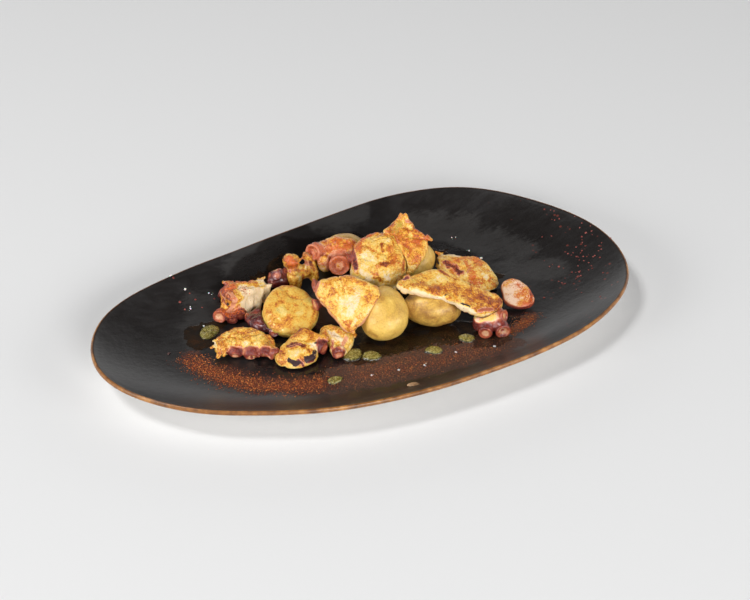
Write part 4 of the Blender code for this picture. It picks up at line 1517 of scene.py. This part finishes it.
def drop_onto(tree, x, y):
    """The (place, normal) of the first surface under a place in millimetres, or None."""
    hit = tree.ray_cast(Vector((x * MM, y * MM, 0.2)), DOWN)
    return (hit[0], hit[1]) if hit[0] is not None else None


def clear_of_food(x, y):
    return drop_onto(food_surface, x, y) is None


print("pieces of food:", len(food_pieces))


# %% [markdown]
# ## Grains
#
# Three shapes are enough for everything that is sprinkled: a round grain, an angular speck for fine dust and
# a bevelled cube for salt. Each grain also has a tint of its own, which its material turns into a colour.

# %% Grain shapes and their material
def grain_shape(kind):
    shape = bmesh.new()
    if kind == "crystal":
        bmesh.ops.create_cube(shape, size=2.0)
        bmesh.ops.bevel(shape, geom=shape.edges, offset=0.35, segments=1, profile=0.5, affect="EDGES",
                        material=-1)
    elif kind == "speck":
        bmesh.ops.create_cone(shape, cap_ends=True, segments=4, radius1=1.0, radius2=0.45, depth=1.4)
    else:
        bmesh.ops.create_icosphere(shape, subdivisions=1, radius=1.0)
    bmesh.ops.triangulate(shape, faces=shape.faces)
    return mesh_from(shape, kind)


def grain_material(name, stops, rough, **settings):
    made, tree, shader, place = new_material(name)
    tint = calc(tree, "MULTIPLY", painted(tree, "tint"), 0.85)
    colour = colour_ramp(tree, scaled(tree, noise(tree, place, 0.3, 2.0), 0.3, tint), stops)
    roughness = scaled(tree, noise(tree, place, 0.2, 2.0), 0.25, rough)
    finish_shader(tree, shader, colour, roughness, noise(tree, place, 0.12, 2.0), 0.03, **settings)
    return made


grain, speck, crystal = (grain_shape(kind) for kind in ("grain", "speck", "crystal"))
print("faces of a grain, speck and crystal:", *(len(shape.polygons) for shape in (grain, speck, crystal)))


# %% [markdown]
# ## Thousands of grains in one piece
#
# Separate objects for seven thousand grains would be slow, so all grains of a kind are one mesh. Each is
# turned and squashed at random and stands on the surface that it was dropped on, sunk in a little. One
# seeded source of chance serves them all, so the same grains fall in the same places every time.

# %% Scatter grains
chance = random.Random(7)


def grain_points(base, place, normal, radius, flat):
    """One grain's points: the template turned, squashed and set on the surface, with its radius in mm."""
    turn = normal.to_track_quat("Z", "Y").to_matrix() @ Matrix.Rotation(chance.uniform(0, math.tau), 3, "Z")
    wide, deep, tall = chance.uniform(0.7, 1.3), chance.uniform(0.7, 1.2), chance.uniform(0.6, 1.1) * flat
    grown = base * (np.array([wide, deep, tall]) * radius * MM) @ np.array(turn).T
    return grown + np.array(place + normal * radius * MM * flat * 0.5)


def scattered(name, template, placed, material, flat=0.7):
    """One mesh of many grains: placed holds (place, normal, radius in mm, tint from 0 to 1)."""
    base = points_of(template)
    faces = np.array([polygon.vertices[:] for polygon in template.polygons])
    points = [grain_points(base, place, normal, radius, flat) for place, normal, radius, tint in placed]
    tints = np.repeat([tint for place, normal, radius, tint in placed], len(base))
    corners = (faces[None] + np.arange(len(placed))[:, None, None] * len(base)).reshape(-1, 3)
    mesh = bpy.data.meshes.new(name)
    mesh.from_pydata(np.concatenate(points).tolist(), [], corners.tolist())
    set_paint(mesh, "tint", tints)
    piece = linked(name, mesh)
    piece.data.materials.append(material)
    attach(piece, "root")
    print(name, len(placed), "grains,", len(mesh.polygons), "faces")


# %% [markdown]
# ## Paprika on the plate
#
# Paprika fell in a band along the left of the dish, and brown dust of mixed spice along its front. Grains
# are strewn beside a path, closer together near it. The cube of a random number makes most of them fine
# and a few coarse, as in ground spice.

# %% Paprika and dust on the plate
UNDER_FRONT_PATH = ((-30, -42), (10, -52), (60, -50))
PAPRIKA_STOPS = (
    (0.0, (0.075, 0.015, 0.007)), (0.50, (0.25, 0.047, 0.012)), (0.80, (0.52, 0.115, 0.018)),
    (1.0, (0.80, 0.30, 0.06)),
)


def beside_path(path, spread):
    """A random place near a path."""
    lengths = [math.dist(a, b) for a, b in zip(path, path[1:])]
    start = chance.choices(range(len(lengths)), lengths)[0]
    share = chance.random()
    x, y = (a + (b - a) * share for a, b in zip(path[start], path[start + 1]))
    return x + chance.gauss(0, spread), y + chance.gauss(0, spread)


def grains_on_plate(path, spread, count, small, large):
    placed = []
    for _ in range(count):
        x, y = beside_path(path, spread)
        hit = drop_onto(plate_surface, x, y)
        if hit and hit[1].z > 0.5 and clear_of_food(x, y):
            placed.append((*hit, small + (large - small) * chance.random() ** 3, chance.random()))
    return placed


paprika = grain_material("paprika", PAPRIKA_STOPS, 0.5)
plate_grains = grains_on_plate(PAPRIKA_PATH, 5.0, 7200, 0.13, 0.46)
plate_grains += grains_on_plate(RIGHT_DUST, 3.2, 1300, 0.12, 0.40)
scattered("paprika_plate", grain, plate_grains, paprika)
dust_grains = grains_on_plate(DUST_PATH, 7.0, 6800, 0.10, 0.36)
dust_grains += grains_on_plate(UNDER_FRONT_PATH, 9.0, 1200, 0.08, 0.22)
scattered("spice_dust", speck, dust_grains, paprika)


# %% [markdown]
# ## Red flecks
#
# Coarse flakes of red pepper lie scattered on the right of the plate and by the potatoes: the largest each
# in its own place, the rest at random along the rim. They are flat, so they are squashed more than paprika.

# %% Red flecks
RED_SPOTS = (
    (170, 46), (182, 44), (187, 32), (187, -1), (185, -15), (170, -25), (152, -27), (145, -12), (170, -7),
    (117, -37), (144, -64), (-110, 63), (-101, 68), (-99, 63), (-109, 57), (-97, 56), (-86, 61), (-108, 79),
)
SPOT_PATH = ((176, 50), (184, 20), (174, -10), (140, -30))
PEPPER_STOPS = ((0.0, (0.12, 0.020, 0.015)), (0.5, (0.22, 0.042, 0.032)), (1.0, (0.34, 0.085, 0.068)))

spots = [(x, y, chance.uniform(0.65, 1.1)) for x, y in RED_SPOTS]
spots += [(*beside_path(SPOT_PATH, 12.0), chance.uniform(0.35, 0.8)) for _ in range(90)]
flecks = []
for x, y, radius in spots:
    hit = drop_onto(plate_surface, x, y)
    if hit and hit[1].z > 0.8:
        flecks.append((*hit, radius, chance.random()))
scattered("pepper_flakes", grain, flecks, grain_material("pepper_flakes", PEPPER_STOPS, 0.35), 0.35)


# %% [markdown]
# ## Paprika on the food
#
# The food was dusted from above, more towards the right and the back. Grains are dropped at random places
# over it and kept where they meet a face that looks up.

# %% Paprika on the food
def more_to_the_right(x, y):
    """The share of the grains that stay at a place in millimetres."""
    return 0.35 + 0.65 * max(0.0, min(1.0, (x + 10) / 30 + y / 60))


food_boxes = [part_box(node) for node in frame["nodes"] if node != "plate"]
low = np.array([corners[0] for corners in food_boxes]).min(0)
high = np.array([corners[1] for corners in food_boxes]).max(0)
dusting = []
while len(dusting) < 2600:
    x, y = chance.uniform(low[0], high[0]) / MM, chance.uniform(low[1], high[1]) / MM
    hit = drop_onto(food_surface, x, y)
    if hit and hit[1].z > 0.25 and chance.random() < more_to_the_right(x, y):
        dusting.append((*hit, 0.07 + 0.17 * chance.random() ** 3, chance.random()))
scattered("paprika_food", grain, dusting, paprika)


# %% [markdown]
# ## Salt
#
# Flakes of salt lie in ones, twos and threes: a large crystal with crumbs of it beside. Light goes a little
# way into them, so they glow softly.

# %% Salt
SALT = (
    (-109, 81), (-103, 71), (-105, 57), (-88, 66), (-103, 38), (101, 38), (104, 26), (98, 58), (-9, -63),
    (8, -66), (33, -63), (-27, -60), (58, -70),
)
SALT_STOPS = ((0.0, (0.72, 0.70, 0.68)), (1.0, (0.92, 0.91, 0.90)))
LARGE, SMALL = (0.35, 0.8), (0.15, 0.35)

flakes = []
for x, y in SALT:
    for step in range(chance.randint(1, 3)):
        right, back = (step * chance.uniform(-1.6, 1.6) for _ in range(2))
        hit = drop_onto(plate_surface, x + right, y + back)
        if hit:
            flakes.append((*hit, chance.uniform(*(SMALL if step else LARGE)), chance.random()))
salt = grain_material("salt", SALT_STOPS, 0.15, Subsurface_Weight=0.5, Subsurface_Scale=0.5 * MM)
scattered("salt_flakes", crystal, flakes, salt, 0.6)


# %% [markdown]
# ## Drops of herb oil
#
# A drop is a low dome with a steep edge. Each is a round grid of rings pushed to its own outline and laid on
# the plate point by point, so that its edge follows the curve of the well. Bits of herb make its top uneven.

# %% Drops
# Each drop: place, half width and half depth in millimetres, turn in degrees.
DROPS = (
    (-28.0, -35.0, 7.4, 6.0, 12), (-17.8, -41.6, 6.4, 5.4, -35), (21.2, -54.6, 6.0, 4.6, -25),
    (47.0, -52.8, 5.8, 4.8, -28), (-50.1, -54.2, 5.6, 3.6, 10), (-102.0, 30.0, 9.0, 6.0, 40),
)
DROP_RINGS = 14
DROP_HEIGHT = 2.1


def drop_place(drop, number, share, around):
    """Where a point of a drop lies, in millimetres: share of the way out, at the angle around."""
    x, y, wide, deep, angle = drop
    turn = math.radians(angle)
    wobble = (1 + 0.05 * math.sin(2 * around + number) + 0.05 * math.sin(3 * around + 2.1 * number)
              + 0.025 * math.sin(7 * around + number))
    px, py = wide * share * wobble * math.cos(around), deep * share * wobble * math.sin(around)
    return x + px * math.cos(turn) - py * math.sin(turn), y + px * math.sin(turn) + py * math.cos(turn)


def build_drops():
    shape = bmesh.new()
    for number, drop in enumerate(DROPS):
        before = len(shape.verts)
        spun(shape, [shape.verts.new((step / DROP_RINGS, 0.0, 0.0)) for step in range(DROP_RINGS + 1)], 48)
        shape.verts.ensure_lookup_table()
        for vertex in shape.verts[before:]:
            share = min(1.0, math.hypot(vertex.co.x, vertex.co.y))
            around = math.atan2(vertex.co.y, vertex.co.x)
            place, normal = drop_onto(plate_surface, *drop_place(drop, number, share, around))
            rise = DROP_HEIGHT * (1 - share ** 2.6) ** 0.6 - (0.05 if share > 0.99 else 0.0)
            vertex.co = place + Vector((0, 0, rise * MM))
    bmesh.ops.remove_doubles(shape, verts=shape.verts, dist=0.000002)
    bmesh.ops.recalc_face_normals(shape, faces=shape.faces)
    mesh = mesh_from(shape, "herb_oil")
    points = points_of(mesh)
    bits = 0.30 * lumps(points, 1.1, 60) + 0.25 * lumps(points, 3.0, 61)
    points[:, 2] += ramp(points[:, 2], 7.0 * MM, 7.8 * MM) * MM * bits
    set_points(mesh, points)
    mesh.shade_smooth()
    return mesh


drops = linked("herb_oil", build_drops())
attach(drops, "root")
print("drops faces", len(drops.data.polygons))


# %% [markdown]
# ## Green oil with bits in it
#
# The oil is olive and lets light in; chopped herb floats in it as darker and paler bits. Near its edge the
# layer is thin, so the plate shows and the drop looks darker there. Its wetness is a clear coat.

# %% The herb oil material
HERB_STOPS = (
    (0.30, (0.018, 0.014, 0.004)), (0.42, (0.10, 0.078, 0.014)), (0.54, (0.30, 0.24, 0.050)),
    (0.70, (0.58, 0.50, 0.19)),
)


def herb_material():
    made, tree, shader, place = new_material("herb_oil")
    bits = noise(tree, place, 0.75, 4.0, 0.7, 0.6)
    broad = noise(tree, place, 3.0, 2.0)
    tall = add_node(tree, "SeparateXYZ", Vector=place).outputs["Z"]
    thin = calc(tree, "MULTIPLY", step_between(tree, tall, 8.1 * MM, 6.9 * MM), 0.22)
    shade = calc(tree, "ADD", calc(tree, "MULTIPLY", bits, 0.80), calc(tree, "MULTIPLY", broad, 0.24))
    colour = colour_ramp(tree, calc(tree, "SUBTRACT", shade, thin), HERB_STOPS)
    finish_shader(tree, shader, colour, scaled(tree, bits, 0.35, 0.08), bits, 0.25, Coat_Weight=0.5,
                  Coat_Roughness=0.08, Subsurface_Weight=0.1, Subsurface_Scale=0.8 * MM)
    return made


drops.data.materials.append(herb_material())
print("drops:", len(DROPS))


# %% [markdown]
# ## The film of oil
#
# Oil has run out from under the food. The film is a sheet of small squares kept where noise says there is
# oil, standing a few tenths of a millimetre high inside and thinning out to nothing at its edge.

# %% The oil film
FILM = (
    ((-34, -32), (-10, -42), (12, -40), (34, -38), (52, -48), (62, -62)), ((20, -28), (40, -28)),
    ((-110, 20), (-100, 32)), ((-30, 70), (-44, 64)), ((66, 50), (84, 36), (96, 6)),
)
SHEET = (250, 170)  # millimetres, more than the film covers
SQUARE = 0.7
FILM_REACH = 9.0
FILM_HEIGHT = 0.30


def film_depth(points):
    """How far inside the film's edge each point is, in metres, and below 0 outside."""
    reach = np.full(len(points), np.inf)
    for path in FILM:
        reach = np.minimum(reach, flat_paths(points, path))
    return FILM_REACH * MM - reach + (6.5 * lumps(points, 13, 70, 2) + 1.6 * lumps(points, 3.4, 72)) * MM


def build_film():
    shape = bmesh.new()
    wide, deep = SHEET
    bmesh.ops.create_grid(shape, x_segments=round(wide / SQUARE), y_segments=round(deep / SQUARE), size=1.0)
    bmesh.ops.scale(shape, vec=(wide / 2 * MM, deep / 2 * MM, 1.0), verts=shape.verts)
    points = np.array([vertex.co[:] for vertex in shape.verts])
    for vertex, value in zip(list(shape.verts), film_depth(points)):
        if value < 0:
            shape.verts.remove(vertex)
            continue
        place, normal = drop_onto(plate_surface, vertex.co.x / MM, vertex.co.y / MM)
        share = min(1.0, value / (2.2 * MM))
        vertex.co = place + Vector((0, 0, (FILM_HEIGHT * (1 - (1 - share) ** 2) - 0.02) * MM))
    bmesh.ops.delete(shape, geom=[vertex for vertex in shape.verts if not vertex.link_faces], context="VERTS")
    mesh = mesh_from(shape, "oil_film")
    mesh.shade_smooth()
    return mesh


film = linked("oil_film", build_film())
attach(film, "root")
print("film faces", len(film.data.polygons))


# %% [markdown]
# ## Clear, brown and very smooth
#
# The film darkens the glaze and carries a little of the spice's colour. It is partly see-through, more in
# some broad patches than in others, and smoother than anything else on the plate.

# %% The film material
FILM_STOPS = ((0.35, (0.012, 0.007, 0.004)), (0.60, (0.040, 0.020, 0.008)), (0.80, (0.085, 0.032, 0.012)))


def film_material():
    made, tree, shader, place = new_material("oil_film")
    broad = noise(tree, place, 9.0, 3.0, 0.6, 0.6)
    rough = scaled(tree, noise(tree, place, 4.0, 2.0), 0.10, 0.02)
    ripple = noise(tree, place, 2.6, 2.0)
    finish_shader(tree, shader, colour_ramp(tree, broad, FILM_STOPS), rough, ripple, 0.05,
                  IOR=1.47, Alpha=scaled(tree, broad, 0.5, 0.30))
    return made


film.data.materials.append(film_material())
print("paths of the film:", len(FILM))


# %% [markdown]
# ## A crumb and a scrap
#
# Two small things lie loose on the plate: a crumb of crust in front and a dark scrap of skin on the left.
# Both are a round lump squashed, bent down at its ends and made uneven.

# %% A crumb and a dark bit of skin
def nugget(name, x, y, size, turn, seed, material):
    """A small uneven lump lying on the plate, size in mm and turn in degrees."""
    turn = math.radians(turn)
    wide, deep, tall = size
    place, normal = drop_onto(plate_surface, x, y)
    shape = bmesh.new()
    bmesh.ops.create_icosphere(shape, subdivisions=4, radius=1.0)
    lifted = Matrix.Translation(place + Vector((0, 0, tall * 0.42 * MM))) @ Matrix.Rotation(turn, 4, "Z")
    squashed = Matrix.Diagonal((wide * MM / 2, deep * MM / 2, tall * MM / 2, 1.0))
    bmesh.ops.transform(shape, matrix=lifted @ squashed, verts=shape.verts)
    mesh = mesh_from(shape, name)
    points = points_of(mesh)
    lengthways = (points[:, 0] - x * MM) * math.cos(turn) + (points[:, 1] - y * MM) * math.sin(turn)
    rise = 0.30 * lumps(points, 2.2, seed) + 0.12 * lumps(points, 0.8, seed + 1)
    points += normals_of(mesh) * (rise * MM)[:, None]
    points[:, 2] -= (lengthways / (wide * MM / 2)) ** 2 * 0.5 * MM
    set_points(mesh, points)
    set_paint(mesh, "tint", 0.5 + 0.5 * lumps(points, 1.5, seed + 2))
    mesh.shade_smooth()
    piece = linked(name, mesh)
    piece.data.materials.append(material)
    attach(piece, "root")
    print(name, "faces", len(mesh.polygons))


CRUMB_STOPS = ((0.0, (0.20, 0.085, 0.030)), (0.5, (0.42, 0.23, 0.105)), (1.0, (0.62, 0.40, 0.22)))
SCRAP_STOPS = ((0.0, (0.030, 0.012, 0.012)), (1.0, (0.12, 0.05, 0.045)))
nugget("crumb", -12, -89, (8.4, 3.6, 1.9), -22, 80, grain_material("crumb", CRUMB_STOPS, 0.4))
nugget("skin_scrap", -135, 18, (3.2, 1.6, 1.0), 30, 84, grain_material("skin_scrap", SCRAP_STOPS, 0.3))


# %% [markdown]
# ## The floor
#
# The dish stands on a plain pale floor, so wide that the camera never sees its end. It belongs to the
# studio and not to the dish.

# %% The floor
def floor_material():
    made, _, shader, _ = new_material("studio_floor")
    shader.inputs["Base Color"].default_value = (0.80, 0.80, 0.80, 1.0)
    shader.inputs["Roughness"].default_value = 0.9
    return made


floor_shape = bmesh.new()
bmesh.ops.create_grid(floor_shape, x_segments=1, y_segments=1, size=30.0)
floor = linked("studio_floor", mesh_from(floor_shape, "studio_floor"))
floor.data.materials.append(floor_material())
print("floor:", [round(side, 1) for side in floor.dimensions])


# %% [markdown]
# ## The lights
#
# A soft light high on the left throws the short shadow to the right. Three low ones keep the near sides of
# the food and the floor under the rim open.

# %% The lights
LIGHT_AWAY = 3.0
VIEWER = math.atan2(-0.73, -0.37)  # the direction from the dish towards the viewer


def soft_light(name, height, side, watts, size=1.1):
    """A round soft light: height and side in degrees, side to the right of the viewer."""
    lamp = bpy.data.lights.new(name, "AREA")
    lamp.shape = "DISK"
    lamp.size = size
    lamp.energy = watts
    light = linked(name, lamp)
    around, up = VIEWER + math.radians(side), math.radians(height)
    level = math.cos(up)
    light.location = LIGHT_AWAY * Vector((level * math.cos(around), level * math.sin(around), math.sin(up)))
    light.rotation_euler = (-light.location).to_track_quat("-Z", "Y").to_euler()


soft_light("key", 60, -68, 35, 0.8)
soft_light("front_left", 20, -60, 29)
soft_light("front_right", 22, 22, 46)
soft_light("right", 20, 62, 20)
print("lights:", len(bpy.data.lights))


# %% [markdown]
# ## The air round the dish
#
# The room is bright only near the horizon, so the dark glaze mirrors a pale haze where it slopes and stays
# dark behind, where it mirrors what is overhead.

# %% The air round the dish
AIR_STOPS = (
    (0.0, (1.17, 1.17, 1.17)), (0.38, (1.17, 1.17, 1.17)), (0.50, (0.07, 0.07, 0.07)),
    (0.68, (0.05, 0.05, 0.05)), (1.0, (0.02, 0.02, 0.02)),
)

world = bpy.data.worlds.new("studio_air")
bpy.context.scene.world = world
world.use_nodes = True
air = world.node_tree
direction = air.nodes.new("ShaderNodeTexCoord").outputs["Generated"]
above = add_node(air, "SeparateXYZ", Vector=direction).outputs["Z"]
air.links.new(colour_ramp(air, above, AIR_STOPS), air.nodes["Background"].inputs["Color"])
print("air:", len(air.nodes), "nodes")


# %% [markdown]
# ## The camera
#
# The dish is seen from the front left and well above it through a long lens, as by someone seated at the
# table. Colours are shown as they are, without a film look.

# %% The camera
VIEW_FROM = (-0.35722, -0.71582, 0.57982)
VIEW_ALONG = (0.37055, 0.73055, -0.57358)

camera_data = bpy.data.cameras.new("view")
camera_data.lens = 70.0
camera_data.sensor_width = 36.0
camera = linked("view", camera_data)
camera.location = VIEW_FROM
camera.rotation_euler = Vector(VIEW_ALONG).to_track_quat("-Z", "Y").to_euler()
bpy.context.scene.camera = camera
bpy.context.scene.view_settings.view_transform = "Standard"
print("camera at", [round(value, 3) for value in camera.location])
